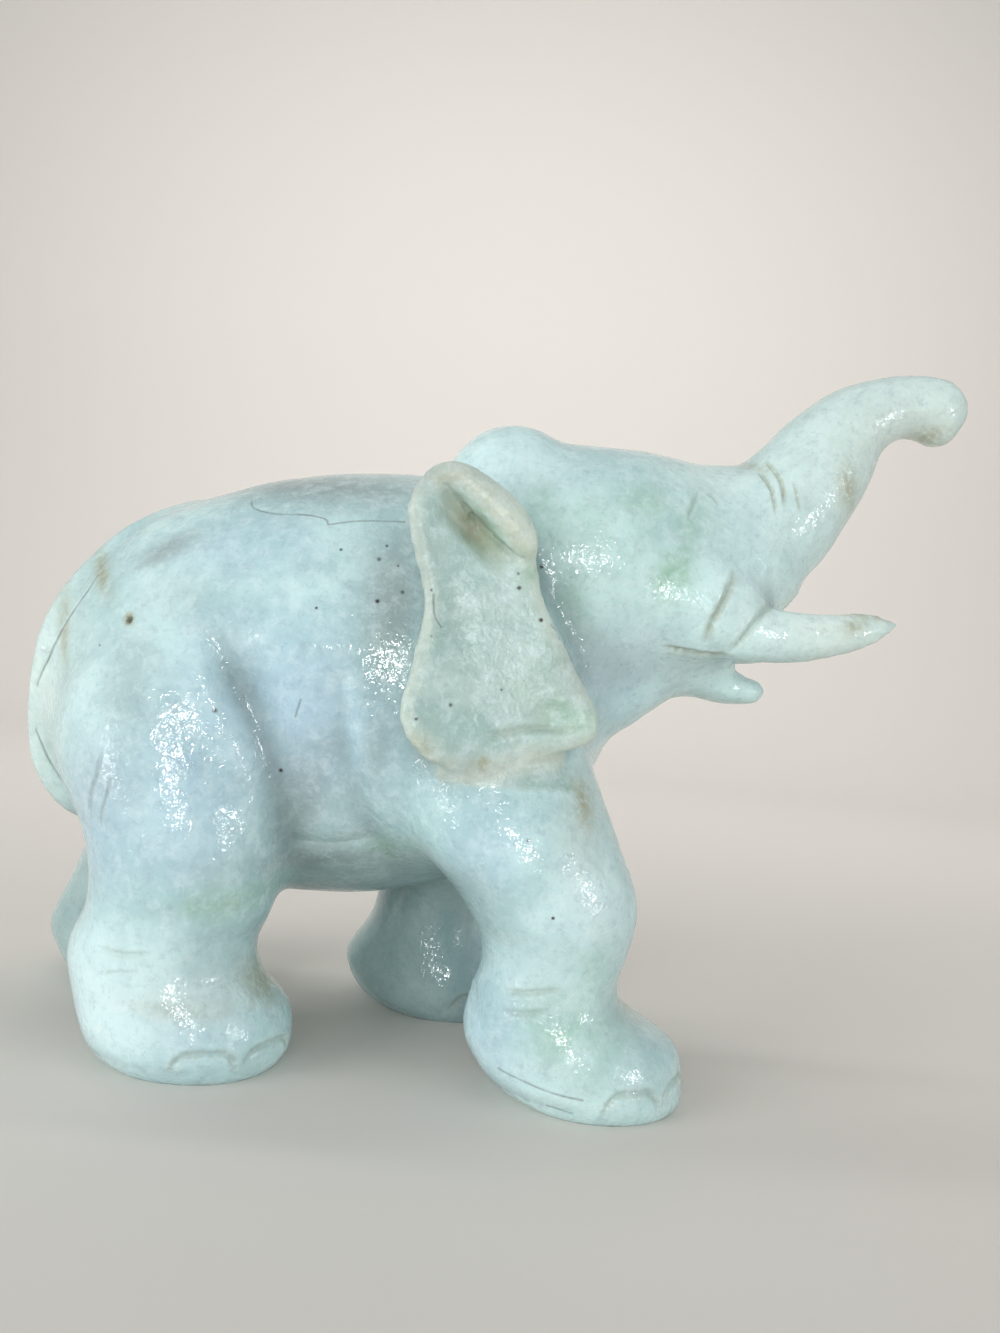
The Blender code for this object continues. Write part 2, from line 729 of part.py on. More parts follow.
def build():
    for old in list(bpy.data.objects):
        bpy.data.objects.remove(old)
    collection = bpy.data.collections.new("Jade elephant")
    bpy.context.scene.collection.children.link(collection)
    elephant = bpy.data.objects.new("elephant", join_forms(body_parts()))
    collection.objects.link(elephant)
    merge_skin(elephant)
    soften_hollows(elephant.data, HOLLOW_PASSES)
    carve(elephant, mouth_hollow())
    elephant.data = join_forms([elephant.data, *applied_parts()])
    merge_skin(elephant)
    soften_hollows(elephant.data, CRISP_PASSES)
    carve_lines(elephant.data)
    thin_out(elephant)
    cut_soles(elephant.data)
    centre_on_origin(elephant.data)
    elephant.data.materials.clear()
    elephant.data.materials.append(jade())
    elephant.data.shade_smooth()


build()
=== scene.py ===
"""The looks of a small carved jade elephant: its finely carved surface, its stone and a pale studio.

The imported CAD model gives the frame. The figure is lofted here again from the same sizes, on a finer
skin, carved with the creases and nails, and set into the CAD solid's box. Places are counted in design
millimetres: +X is the way the elephant walks, +Y its left side, +Z up from the ground.
"""

import math

import bmesh
import bpy
import numpy as np
from mathutils import Matrix, Vector, kdtree, noise
from mathutils.bvhtree import BVHTree


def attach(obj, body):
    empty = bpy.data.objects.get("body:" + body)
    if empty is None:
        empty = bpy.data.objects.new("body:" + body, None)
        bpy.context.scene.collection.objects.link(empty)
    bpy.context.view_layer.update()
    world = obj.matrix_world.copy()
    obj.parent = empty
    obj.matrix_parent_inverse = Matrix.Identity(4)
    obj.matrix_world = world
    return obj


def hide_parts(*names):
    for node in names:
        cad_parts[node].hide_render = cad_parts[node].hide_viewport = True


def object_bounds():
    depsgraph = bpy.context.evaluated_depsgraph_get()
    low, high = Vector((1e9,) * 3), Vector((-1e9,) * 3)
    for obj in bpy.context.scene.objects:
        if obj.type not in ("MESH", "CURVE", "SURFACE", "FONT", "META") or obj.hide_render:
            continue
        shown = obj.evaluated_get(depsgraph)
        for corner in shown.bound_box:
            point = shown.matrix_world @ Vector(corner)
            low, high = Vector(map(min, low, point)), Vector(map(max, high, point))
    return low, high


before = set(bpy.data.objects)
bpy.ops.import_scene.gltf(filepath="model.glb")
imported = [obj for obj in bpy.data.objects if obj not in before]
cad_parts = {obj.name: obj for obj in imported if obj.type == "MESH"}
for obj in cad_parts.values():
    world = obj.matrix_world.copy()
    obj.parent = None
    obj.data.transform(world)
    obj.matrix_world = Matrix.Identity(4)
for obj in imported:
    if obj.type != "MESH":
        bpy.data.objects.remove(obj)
cad_low, cad_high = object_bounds()

# Driving sizes, in metres
FIGURE_LENGTH = 0.188
STANCE = 0.043  # between the middles of the left and the right feet
FRONT_STRIDE = 0.030  # how far the right front foot is ahead of the left one
REAR_STRIDE = 0.023
TORSO_WIDTH = 0.070
EAR_THICKNESS = 0.0050
TUSK_SPREAD = 0.034  # between the two tusks, side to side
TAIL_WIDTH = 0.0075
SKIN_VOXEL = 0.00125
FRONT_FOOT_X = 0.0094  # the middle of a front sole, before its stride
REAR_FOOT_X = -0.0625
NAIL_HEIGHT = 0.0065

SHARES = 188
MM = FIGURE_LENGTH / SHARES  # one design millimetre
RING_SIDES = 40
RINGS_PER_SPAN = 8
RIGHT, LEFT = -1, 1
EAR_DISH = 0.008  # how fast both edges of a flap swing out, per design millimetre
EAR_STEPS = 6
HOLLOW_PASSES = 22  # how far the creases between the broad masses are filled
CRISP_PASSES = 3  # the same where ears, tusks and tail stand on them
FILL_SHARE = 0.9  # of the way to its neighbours' mean that a place moves in each pass
TAIL_HUB = (-58.0, 68.0)  # inside the hips, from the side as (x, z)
TAIL_LIFT = -1.0  # the tail lies a little sunk into the rump
HOCK_TRIM = 1.8  # the right rear leg is hollower behind

LINE_STEPS = 40
FADE_WIDTHS = 2.5  # how many half widths from its ends a carved line reaches its depth
RIDGE_STEPS = 12
STEP_WIDTH = 5.0  # how far beside a ridge the belly reaches its depth
STEP_RUN_OUT = 14.0  # how far beyond that it rises again
STEP_FADE = 17.0  # how far down from its upper end a ridge reaches its height
NAIL_STEPS = 14
NAIL_SPAN = 42.0  # degrees around the foot
NAIL_FACINGS = (-64.0, -20.0, 24.0, 68.0)  # degrees outward from straight ahead

# The thigh's front edge and the shoulder's rear edge, from the side as (x, z)
THIGH_RIDGE = [(-57, 82), (-52.5, 71.5), (-46.3, 60), (-43, 51), (-40.8, 42), (-38, 28)]
SHOULDER_RIDGE = [(-24.5, 80), (-23.6, 69), (-21.6, 60), (-18.5, 51), (-13, 41), (-5, 28)]
THIGH_FALL, SHOULDER_FALL = 4.8, 3.6  # how deep the belly is set back beside each ridge

# The flap of an ear, from the side as (x, z)
EAR_OUTLINE = [
    (-11.5, 114), (-16.4, 111.6), (-19, 105), (-17.4, 97.2), (-14.6, 88), (-15.6, 77.5), (-16.7, 68.5),
    (-12.4, 61.8), (-3.6, 59), (5.5, 62.5), (15.5, 65.4), (18.4, 70.5), (12.6, 80.5), (6.6, 91),
    (3.8, 100.5), (-1, 108.6), (-6, 112.7),
]
EAR_FRAME = ((-21, 20), (57.5, 116))  # just around the flap, along x and along z

# Hollows of the ears: points from the side as (x, z), half width and depth
EAR_HOLLOWS = [
    ([(-13.6, 107.8), (-10.4, 104.8), (-7, 101.8), (-3.2, 98.6), (0.6, 96.3)], 3.8, 2.5),
    ([(-10.5, 98), (-9.5, 90), (-8, 82), (-5, 75)], 4.8, 0.9),
    ([(4, 69.8), (9.5, 71), (12.8, 71.4), (15, 72.6)], 3.4, 1.2),
]


def between(before, start, end, after, t):
    """A Catmull-Rom value at t, from start to end."""
    return 0.5 * (
        2 * start
        + (end - before) * t
        + (2 * before - 5 * start + 4 * end - after) * t**2
        + (3 * start - before - 3 * end + after) * t**3
    )


def follow(points, steps):
    """Points along a smooth open line through the points given, with so many steps between two."""
    rows = np.array(points, float)
    padded = np.vstack([2 * rows[0] - rows[1], rows, 2 * rows[-1] - rows[-2]])
    found = [
        between(*padded[span : span + 4], step / steps)
        for span in range(len(rows) - 1)
        for step in range(steps)
    ]
    return np.array([*found, rows[-1]])


def loft(name, stations, level=False):
    """A closed skin through oval rings. A station is x, y, z, then the radius of its ring across
    the path and the radius sideways. The rings stand square to the path, or all lie level."""
    rows = follow(stations, RINGS_PER_SPAN)
    centres = rows[:, :3] * MM
    along = np.gradient(centres, axis=0)
    bm = bmesh.new()
    rings = []
    for centre, tangent, (deep, wide) in zip(centres, along, rows[:, 3:]):
        forward = Vector((0, 0, -1)) if level else Vector(tangent).normalized()
        side = (Vector((0, 1, 0)) - forward * forward.y).normalized()
        upright = side.cross(forward)
        deep, wide = abs(deep) * MM, abs(wide) * MM
        angles = (2 * math.pi * k / RING_SIDES for k in range(RING_SIDES))
        rings.append(
            [
                bm.verts.new(Vector(centre) + upright * deep * math.cos(a) + side * wide * math.sin(a))
                for a in angles
            ]
        )
    for ring, following in zip(rings, rings[1:]):
        for k in range(RING_SIDES):
            j = (k + 1) % RING_SIDES
            bm.faces.new((ring[k], ring[j], following[j], following[k]))
    bm.faces.new(rings[0])
    bm.faces.new(rings[-1])
    bmesh.ops.recalc_face_normals(bm, faces=bm.faces)
    mesh = bpy.data.meshes.new(name)
    bm.to_mesh(mesh)
    bm.free()
    return mesh


def ball(name, centre, radii):
    """An ellipsoid, in design millimetres."""
    bm = bmesh.new()
    bmesh.ops.create_uvsphere(bm, u_segments=RING_SIDES, v_segments=RING_SIDES // 2, radius=1)
    bm.transform(Matrix.Translation(Vector(centre) * MM) @ Matrix.Diagonal((*(Vector(radii) * MM), 1)))
    mesh = bpy.data.meshes.new(name)
    bm.to_mesh(mesh)
    bm.free()
    return mesh


def torso():
    half = TORSO_WIDTH / 2 / MM
    stations = [
        (-92.2, 0, 62, 2, 0.05 * half),
        (-90.5, 0, 62, 13, 0.33 * half),
        (-85.6, 0, 63, 22.4, 0.56 * half),
        (-76.4, 0, 65.2, 30, 0.78 * half),
        (-62, 0, 68.5, 37.5, 0.93 * half),
        (-45, 0, 70.5, 42.2, half),
        (-28, 0, 72.5, 43.5, 0.98 * half),
        (-10, 0, 76, 41, 0.90 * half),
        (4, 0, 78, 32, 0.78 * half),
        (14, 0, 81, 22.5, 0.62 * half),
        (22, 0, 84, 8, 0.30 * half),
    ]
    return loft("torso", stations)


def skull():
    stations = [
        (-16, 0, 106, 6, 7),
        (-11, 0, 105, 16, 16),
        (1, 0, 102, 23.5, 23.5),
        (16, 0, 100.5, 25.5, 25),
        (30, 0, 101, 25, 22.5),
        (41, 0, 104, 22.5, 18.5),
        (50, 0, 108.5, 16.5, 15),
        (57, 0, 113, 8, 10),
    ]
    return loft("skull", stations)


def crown(side):
    return ball("crown", (-1.0, 6.5 * side, 113.5), (14.0, 12.5, 14.0))


def trunk():
    stations = [
        (36, 0, 107, 17.5, 15.5),
        (51, 0, 112.5, 14.4, 12.8),
        (58.6, 0, 120.8, 12.2, 11),
        (63.8, 0, 129.2, 10.8, 9.6),
        (67.8, 0, 134.9, 8.8, 8.4),
        (72.3, 0, 138.3, 7.4, 7.4),
        (78, 0, 140.6, 6.5, 6.8),
        (83.5, 0, 141, 6.5, 6.6),
        (87.4, 0, 140.4, 6.2, 6.2),
        (91, 0, 139.8, 3.6, 3.8),
        (92.2, 0, 139.6, 0.8, 0.9),
    ]
    return loft("trunk", stations)


def trunk_tip():
    return ball("trunk_tip", (86.2, 0, 137.4), (4.6, 5.2, 4.4))


def tusk(side):
    y = side * TUSK_SPREAD / 2 / MM
    stations = [
        (36, y - 4 * side, 91, 6, 5.2),
        (44, y - 1.5 * side, 89.8, 5.8, 5),
        (50, y, 89.3, 5.4, 4.7),
        (56, y + 0.6 * side, 89.3, 4.9, 4.3),
        (62.5, y + 0.8 * side, 90.4, 4.2, 3.7),
        (68, y + 0.6 * side, 91.8, 3.4, 2.9),
        (72.5, y, 93, 2.1, 1.9),
        (76.2, y - 0.5 * side, 94, 0.3, 0.3),
    ]
    return loft("tusk", stations)


def tusk_sheath(side):
    """The cheek's fold, out of which a tusk grows."""
    y = side * TUSK_SPREAD / 2 / MM
    stations = [
        (16, y - 6 * side, 99, 8, 8),
        (26, y - 3.5 * side, 96.5, 11.5, 9.5),
        (36, y - 2 * side, 94.5, 11, 8),
        (43, y - 1.6 * side, 92.5, 8.6, 6.8),
        (47.5, y - 1.4 * side, 91.2, 6, 5.6),
        (49.5, y - 1.2 * side, 90.6, 3, 3.6),
    ]
    return loft("tusk_sheath", stations)


def throat():
    """The neck's lower edge, from the chest up to the jaw."""
    stations = [
        (2, 0, 76, 10, 15),
        (12, 0, 75.5, 12, 15),
        (20, 0, 77, 11.5, 14),
        (27, 0, 79.8, 9.6, 12.5),
        (34, 0, 82.5, 7.2, 10.5),
        (40, 0, 84, 4.5, 8),
    ]
    return loft("throat", stations)


def jaw():
    stations = [
        (22, 0, 86, 12, 15),
        (32, 0, 82, 6.5, 11.5),
        (40, 0, 80.6, 4.6, 8.6),
        (46, 0, 78.8, 3.7, 6.6),
        (51, 0, 78.2, 3, 5),
        (54, 0, 78.6, 2.3, 3.6),
        (55.4, 0, 78.9, 0.6, 1),
    ]
    return loft("jaw", stations)


def front_leg(side, lead):
    """A front leg from the shoulder down; lead is how far its foot is ahead of the middle."""
    y = side * STANCE / 2 / MM
    foot_x = FRONT_FOOT_X / MM + lead
    stations = [
        (-6, 10 * side, 90, 13, 13),
        (-5, 14.5 * side, 76, 19, 17.5),
        (-3.5 + 0.15 * lead, 17.5 * side, 60, 21, 18),
        (0.4 + 0.31 * lead, y, 47, 20.5, 16.8),
        (3.7 + 0.60 * lead, y, 36, 17.2, 16.2),
        (2.6 + 0.83 * lead, y, 26, 13.4, 14.4),
        (1.2 + 0.83 * lead, y, 18.5, 13.4, 14.2),
        (4.9 + 0.94 * lead, y, 11, 20, 16),
        (6.4 + 0.98 * lead, y, 5.5, 19.6, 16.6),
        (foot_x - 1.2, y, 2.2, 18.2, 15.8),
        (foot_x, y, 0, 15.8, 14),
        (foot_x + 0.2, y, -2, 12, 11),
    ]
    return loft("front_leg", stations, level=True)


def rear_leg(side, lead):
    """A rear leg from the hip down; lead is how far its foot is ahead of the middle."""
    y = side * STANCE / 2 / MM
    foot_x = REAR_FOOT_X / MM + lead
    trim = HOCK_TRIM if side == RIGHT else 0
    stations = [
        (-62, 10 * side, 86, 12, 17.5),
        (-62, 16 * side, 72, 19, 19.6),
        (-63 + 0.12 * lead, 19.4 * side, 56, 20.6, 18.8),
        (-63.2 + 0.41 * lead + trim, y, 42, 20 - trim, 17.2),
        (-64.7 + 0.64 * lead + trim, y, 30, 18.8 - trim, 16.2),
        (-67.9 + 0.81 * lead, y, 20, 17, 15),
        (-65.9 + 1.02 * lead, y, 11.5, 19.6, 16.2),
        (-63.9 + lead, y, 5.5, 19.3, 16.6),
        (foot_x - 0.7, y, 2.2, 18, 15.6),
        (foot_x, y, 0, 15.8, 13.8),
        (foot_x + 0.2, y, -2, 12, 11),
    ]
    return loft("rear_leg", stations, level=True)


def closed_curve(points):
    """Points on a smooth closed curve through the points given."""
    rows = np.array(points, float)
    padded = np.vstack([rows[-1], rows, rows[:2]])
    return [
        between(*padded[span : span + 4], step / EAR_STEPS)
        for span in range(len(rows))
        for step in range(EAR_STEPS)
    ]


def ear_slab():
    """The flap laid flat: its outline from the side, as a slab with a rounded rim."""
    outline = closed_curve(EAR_OUTLINE)
    rim = 0.45 * EAR_THICKNESS
    curve = bpy.data.curves.new("ear", "CURVE")
    curve.dimensions = "2D"
    curve.fill_mode = "BOTH"
    curve.bevel_depth = rim
    curve.bevel_resolution = 3
    curve.offset = -rim
    curve.extrude = EAR_THICKNESS / 2 - rim
    spline = curve.splines.new("POLY")
    spline.points.add(len(outline) - 1)
    for point, (x, z) in zip(spline.points, outline):
        point.co = (x * MM, z * MM, 0, 1)
    spline.use_cyclic_u = True
    flat = bpy.data.objects.new("ear", curve)
    bpy.context.scene.collection.objects.link(flat)
    flat.rotation_euler = (math.pi / 2, 0, 0)
    bpy.context.view_layer.update()
    mesh = bpy.data.meshes.new_from_object(flat.evaluated_get(bpy.context.evaluated_depsgraph_get()))
    mesh.transform(flat.matrix_world)
    bpy.data.objects.remove(flat)
    slab = bpy.data.objects.new("ear", mesh)
    bpy.context.scene.collection.objects.link(slab)
    merge_skin(slab)
    mesh = slab.data
    bpy.data.objects.remove(slab)
    return mesh


def ear_stand(x, z):
    """How far out the middle of the flap's thickness stands at a place seen from the side."""
    middle = -6.0 + 0.16 * np.maximum(0.0, 90.0 - z)
    return 30.8 + 0.25 * (10.0 - x) - 0.09 * (z - 70.0) + EAR_DISH * (x - middle) ** 2


def ear(side):
    """The broad flap, dished, with its rear edge swung away from the neck."""
    mesh = ear_slab()
    for v in mesh.vertices:
        v.co.y += ear_stand(v.co.x / MM, v.co.z / MM) * MM
        v.co.y *= side
    if side == RIGHT:
        mesh.flip_normals()
    return mesh


def ear_root(side):
    """What joins the front half of the flap to the side of the head and the neck."""
    stations = [
        (9, 22 * side, 67, 4, 8),
        (8, 22 * side, 75, 6.5, 8.6),
        (3, 21.5 * side, 86, 7, 8.6),
        (-2, 20 * side, 96, 7, 9),
        (-6, 18 * side, 105, 5.5, 9),
    ]
    return loft("ear_root", stations)


def ear_fold(side):
    """The lip turned over along the upper front edge of the flap."""
    along = [
        (-14.6, 110.4, 1, 0.8),
        (-12.2, 111.2, 2.4, 2),
        (-8.8, 109.9, 3.2, 2.8),
        (-5, 107.3, 3.7, 3),
        (-1.2, 104.1, 3.8, 2.9),
        (1.6, 101.2, 3, 2.4),
        (3.5, 99, 1.6, 1.4),
        (4.2, 98, 0.5, 0.5),
    ]
    lift = 0.75 * EAR_THICKNESS / 2 / MM + 1.2
    stations = [(x, side * (ear_stand(x, z) + lift), z, deep, wide) for x, z, deep, wide in along]
    return loft("ear_fold", stations)


def tail():
    """The tail, laid down over the rump and swung to the right. A row is the way out from inside the
    hips, in degrees backward from straight up, then how far right, and the ring's two radii."""
    half = TAIL_WIDTH / 2 / MM
    rump = skin_of(torso())
    rows = [
        (4, 1, 1, 0.4 * half),
        (16, 4, 1.8, 0.8 * half),
        (31, 9.5, 1.7, half),
        (50, 14, 1.9, half),
        (68, 17, 2.4, half),
        (86, 16, 2.3, half),
        (102, 12.5, 3.2, half),
        (116, 10, 4.6, 1.1 * half),
        (128, 8, 5.2, 1.2 * half),
        (137, 6.5, 4.4, 1.1 * half),
        (143, 5.5, 1.8, 0.5 * half),
    ]
    stations = []
    for backward, right, deep, wide in rows:
        angle = math.radians(backward)
        out = Vector((-math.sin(angle), 0, math.cos(angle)))
        start = Vector((TAIL_HUB[0], right * RIGHT, TAIL_HUB[1]))
        lies = rump.ray_cast(start + out * SHARES, -out)[0] + out * TAIL_LIFT
        stations.append((*lies, deep, wide))
    return loft("tail", stations)


def mouth_hollow():
    """What is carved out between the lower lip and the root of the trunk."""
    stations = [
        (32, 0, 85.6, 0.6, 5),
        (36, 0, 86.2, 2.4, 7.5),
        (42, 0, 87.2, 4.2, 9),
        (50, 0, 88.6, 6.4, 10),
        (60, 0, 90.5, 8.6, 11),
        (66, 0, 91.5, 9, 11),
    ]
    return loft("mouth_hollow", stations)


def body_parts():
    """The broad masses, which flow into each other."""
    front_lead, rear_lead = FRONT_STRIDE / 2 / MM, REAR_STRIDE / 2 / MM
    parts = [torso(), skull(), trunk(), trunk_tip(), throat(), jaw()]
    for side in (RIGHT, LEFT):
        parts += [front_leg(side, -side * front_lead), rear_leg(side, -side * rear_lead)]
        parts += [crown(side), tusk_sheath(side)]
    return parts


def applied_parts():
    """The thinner forms, which stand crisply on the masses."""
    parts = [tail()]
    for side in (RIGHT, LEFT):
        parts += [tusk(side), ear(side), ear_root(side), ear_fold(side)]
    return parts


def join_forms(forms):
    """One mesh that holds all the forms, still passing through each other."""
    bm = bmesh.new()
    for mesh in forms:
        bm.from_mesh(mesh)
    joined = bpy.data.meshes.new("elephant")
    bm.to_mesh(joined)
    bm.free()
    return joined


def apply_modifiers(figure):
    """Bakes the object's modifiers into its mesh."""
    evaluated = figure.evaluated_get(bpy.context.evaluated_depsgraph_get())
    mesh = bpy.data.meshes.new_from_object(evaluated)
    figure.modifiers.clear()
    figure.data = mesh


def merge_skin(figure):
    remesh = figure.modifiers.new("One skin", "REMESH")
    remesh.mode = "VOXEL"
    remesh.voxel_size = SKIN_VOXEL
    bpy.context.view_layer.update()
    apply_modifiers(figure)


def carve(figure, hollow):
    """Cuts the hollow's mesh out of the figure."""
    cutter = bpy.data.objects.new("hollow", hollow)
    figure.users_collection[0].objects.link(cutter)
    cut = figure.modifiers.new("Carve", "BOOLEAN")
    cut.operation = "DIFFERENCE"
    cut.solver = "MANIFOLD"
    cut.object = cutter
    bpy.context.view_layer.update()
    apply_modifiers(figure)
    bpy.data.objects.remove(cutter)


def vertex_array(mesh, attribute):
    """A three-number property of every vertex, such as its place, as rows of numpy."""
    values = np.empty(len(mesh.vertices) * 3)
    mesh.vertices.foreach_get(attribute, values)
    return values.reshape(-1, 3)


def set_places(mesh, places):
    mesh.vertices.foreach_set("co", places.ravel())
    mesh.update()


def link_ends(mesh):
    """The two vertices of every edge, and how many edges each vertex has."""
    ends = np.empty(len(mesh.edges) * 2, int)
    mesh.edges.foreach_get("vertices", ends)
    a, b = ends.reshape(-1, 2).T
    return a, b, np.bincount(np.concatenate([a, b]), minlength=len(mesh.vertices))[:, None]


def neighbour_means(places, a, b, links):
    """The mean place of every vertex's neighbours."""
    total = np.stack(
        [
            np.bincount(a, places[b, k], len(places)) + np.bincount(b, places[a, k], len(places))
            for k in range(3)
        ],
        axis=1,
    )
    return total / links


def soften_hollows(mesh, passes):
    """Fills the creases between limbs: points in a hollow move out to the mean of their neighbours,
    and points on a ridge stay where they are."""
    places = vertex_array(mesh, "co")
    links = link_ends(mesh)
    for _ in range(passes):
        pull = neighbour_means(places, *links) - places
        set_places(mesh, places)
        normals = vertex_array(mesh, "normal")
        outward = np.clip((pull * normals).sum(1), 0, None)
        places = places + normals * outward[:, None] * FILL_SHARE
    set_places(mesh, places)


def side_line(skin, points, side):
    """Points on the skin's flank along a smooth line seen from the side."""
    rays = [Vector((x, side * SHARES, z)) for x, z in follow(points, LINE_STEPS)]
    hits = [skin.ray_cast(ray, Vector((0, -side, 0)))[0] for ray in rays]
    return [hit for hit in hits if hit]


def nail_line(skin, foot, facing):
    """Points on the skin along the arched edge of one nail; foot is the middle of the foot on the
    ground and facing is the way the nail looks, in degrees from straight ahead."""
    reach = 0.7 * STANCE / MM  # outside this foot, and short of the other
    found = []
    for step in range(-NAIL_STEPS, NAIL_STEPS + 1):
        share = step / NAIL_STEPS
        heading = math.radians(facing + share * NAIL_SPAN / 2)
        away = Vector((math.cos(heading), math.sin(heading), 0))
        height = Vector((0, 0, NAIL_HEIGHT / MM * math.sqrt(1 - 0.96 * share**4)))
        hit = skin.ray_cast(foot + height + away * reach, -away)[0]
        if hit:
            found.append(hit)
    return found


def closeness(places, points, reach):
    """How near each place is to the line: 1 on it and 0 from reach on, and which point is nearest."""
    line = np.array(points)
    value = np.zeros(len(places))
    nearest = np.zeros(len(places), int)
    inside = ((places > line.min(0) - reach) & (places < line.max(0) + reach)).all(axis=1)
    near = np.flatnonzero(inside)
    gaps = np.linalg.norm(places[near, None] - line[None], axis=2)
    value[near] = np.clip(1 - gaps.min(axis=1) / reach, 0, 1)
    nearest[near] = gaps.argmin(axis=1)
    return value, nearest


def run_along(points):
    """How far along the line each of its points is."""
    return np.cumsum(np.r_[0, np.linalg.norm(np.diff(np.array(points), axis=0), axis=1)])


def run_fade(points, share):
    """Along the line, 0 at both ends and 1 from share of its length on."""
    run = run_along(points)
    return np.clip(np.minimum(run, run[-1] - run) / (share * run[-1]), 0, 1)


def eased(share):
    """From 0 to 1 with a soft start and end."""
    return share**2 * (3 - 2 * share)


def cut_line(places, normals, points, half_width, depth):
    """Presses a soft groove into the places along the points, fading out at both ends."""
    close, nearest = closeness(places, points, half_width)
    run = run_along(points)
    fade = np.clip(np.minimum(run, run[-1] - run) / (FADE_WIDTHS * half_width), 0, 1)
    press = (1 - (1 - close) ** 2) ** 2 * fade[nearest]
    places -= normals * (depth * press)[:, None]


def fall_beside(places, side, points, ahead, depth):
    """Sets the belly back beside a ridge: steeply next to it, then rising softly again. The flesh falls
    ahead of the ridge (1) or behind it (-1)."""
    line = follow(points, RIDGE_STEPS)
    seen = places[:, ::2]
    reach = STEP_WIDTH + STEP_RUN_OUT
    close, nearest = closeness(seen, line, reach)
    gap = (1 - close) * reach
    way, off = np.gradient(line, axis=0)[nearest], seen - line[nearest]
    beside = (ahead * (way[:, 0] * off[:, 1] - way[:, 1] * off[:, 0]) > 0) & (places[:, 1] * side > 0)
    fall = eased(np.clip(gap / STEP_WIDTH, 0, 1))
    rise = eased(np.clip((gap - STEP_WIDTH) / STEP_RUN_OUT, 0, 1))
    fade = np.clip(run_along(line) / STEP_FADE, 0, 1)
    press = fall * (1 - rise) * beside * fade[nearest]
    places[:, 1] *= 1 - depth * MM / (TORSO_WIDTH / 2) * press


def set_belly_back(places, side):
    """Sets the belly back between the thigh and the shoulder."""
    thigh_back, shoulder_back = (0.0, 0.0) if side == RIGHT else (REAR_STRIDE / MM, FRONT_STRIDE / MM)
    for ridge, stride, ahead, depth in (
        (THIGH_RIDGE, thigh_back, 1, THIGH_FALL),
        (SHOULDER_RIDGE, shoulder_back, -1, SHOULDER_FALL),
    ):
        moved = [(x - stride * leg_share(z), z) for x, z in ridge]
        fall_beside(places, side, moved, ahead, depth)


def leg_share(z):
    """How much of a leg's stride shows at this height: none at the hip and all of it at the ankle."""
    return min(1.0, max(0.0, (70.0 - z) / 50.0)) ** 1.3


def cut_soles(mesh):
    """Cuts the feet off flat on the ground."""
    bm = bmesh.new()
    bm.from_mesh(mesh)
    everything = [*bm.verts, *bm.edges, *bm.faces]
    bmesh.ops.bisect_plane(bm, geom=everything, plane_co=(0, 0, 0), plane_no=(0, 0, 1), clear_inner=True)
    open_edges = [e for e in bm.edges if e.is_boundary]
    bmesh.ops.holes_fill(bm, edges=open_edges)
    bmesh.ops.recalc_face_normals(bm, faces=bm.faces)
    bmesh.ops.triangulate(bm, faces=bm.faces)
    bm.to_mesh(mesh)
    bm.free()


# How finely the skin is worked, in design millimetres
EVEN_PASSES = 8  # takes the voxels' steps off the skin
SMOOTHING_SHARE, GIVING_BACK = 0.5, -0.53  # towards the neighbours' mean, then away from it
FINE_REACHES = (1.9, 1.0)  # the skin is split once more within each of these of a carved line
MARK_REACHES = (0.5,)  # and once more so near a fissure or a speck
WAVES = [(11.0, 0.16), (4.5, 0.05)]  # what hand polishing leaves: how long and how high
LIP = 0.12  # how far a groove's shoulders stand up, in shares of its depth
SHOULDER_REACH = 2.6  # how far from its middle they end, in half widths

# Grooves on both sides: points from the side as (x, z), half width, depth, and how brown they are
GROOVES = [
    ([(-67.5, 57.5), (-68, 53), (-68.9, 49.8), (-69.3, 45)], 0.5, 0.5, 0.35),
    ([(-65.2, 53.3), (-65.6, 50.2), (-66.5, 47), (-66.9, 44)], 0.4, 0.4, 0.3),
    ([(-38.7, 43), (-32.8, 41.9), (-26.3, 42.5), (-19.9, 44.8)], 2.4, 0.6, 0.05),
    ([(-1.9, 65.2), (1.9, 67), (7.7, 68.3), (13, 68.3), (16, 69)], 1, 0.5, 0.35),
    ([(-13, 109.4), (-9.8, 106.4), (-6.4, 103.4), (-2.2, 99.9), (0.9, 97.9), (3.9, 97.2)], 0.9, 0.9, 0.45),
    ([(42.9, 101.3), (41.8, 98.4), (40.9, 96), (39.6, 92.8), (38.7, 90.6), (38.1, 86.3)], 0.9, 1, 0.9),
    ([(50.8, 95.6), (48, 92.9), (46.3, 90.4), (44.2, 86.7), (43.3, 85.1)], 0.9, 0.9, 0.45),
    ([(30.5, 85.3), (32.8, 84.9), (37.7, 84.6), (43.5, 84.8)], 1.1, 1.3, 0.9),
    ([(47.7, 123.1), (50.1, 118.9), (51.3, 113.4)], 0.5, 0.6, 1),
    ([(49.3, 125.5), (52, 120.7), (53.1, 114.8)], 0.5, 0.6, 1),
    ([(54.5, 121.1), (55.5, 117.2), (56, 114.6)], 0.4, 0.25, 0.6),
    ([(35.4, 116.4), (34.7, 114.9), (33.6, 112.3), (32.7, 109.7)], 0.7, 0.5, 0.25),
    ([(36.5, 115.8), (37.9, 115.6), (39.4, 113.8)], 0.6, 0.35, 0.3),
]
FRONT_LEG_GROOVES = [
    ([(5.7, 21), (10.7, 22), (15.8, 23.2)], 0.7, 0.6, 0.4),
    ([(6, 17.7), (10.1, 18.3), (14.2, 19.4)], 0.7, 0.6, 0.35),
]
REAR_LEG_GROOVES = [
    ([(-65.6, 22.5), (-60, 22.3), (-55.3, 22.9)], 0.7, 0.6, 0.3),
    ([(-64.2, 18.5), (-57.2, 19.4)], 0.6, 0.5, 0.2),
]
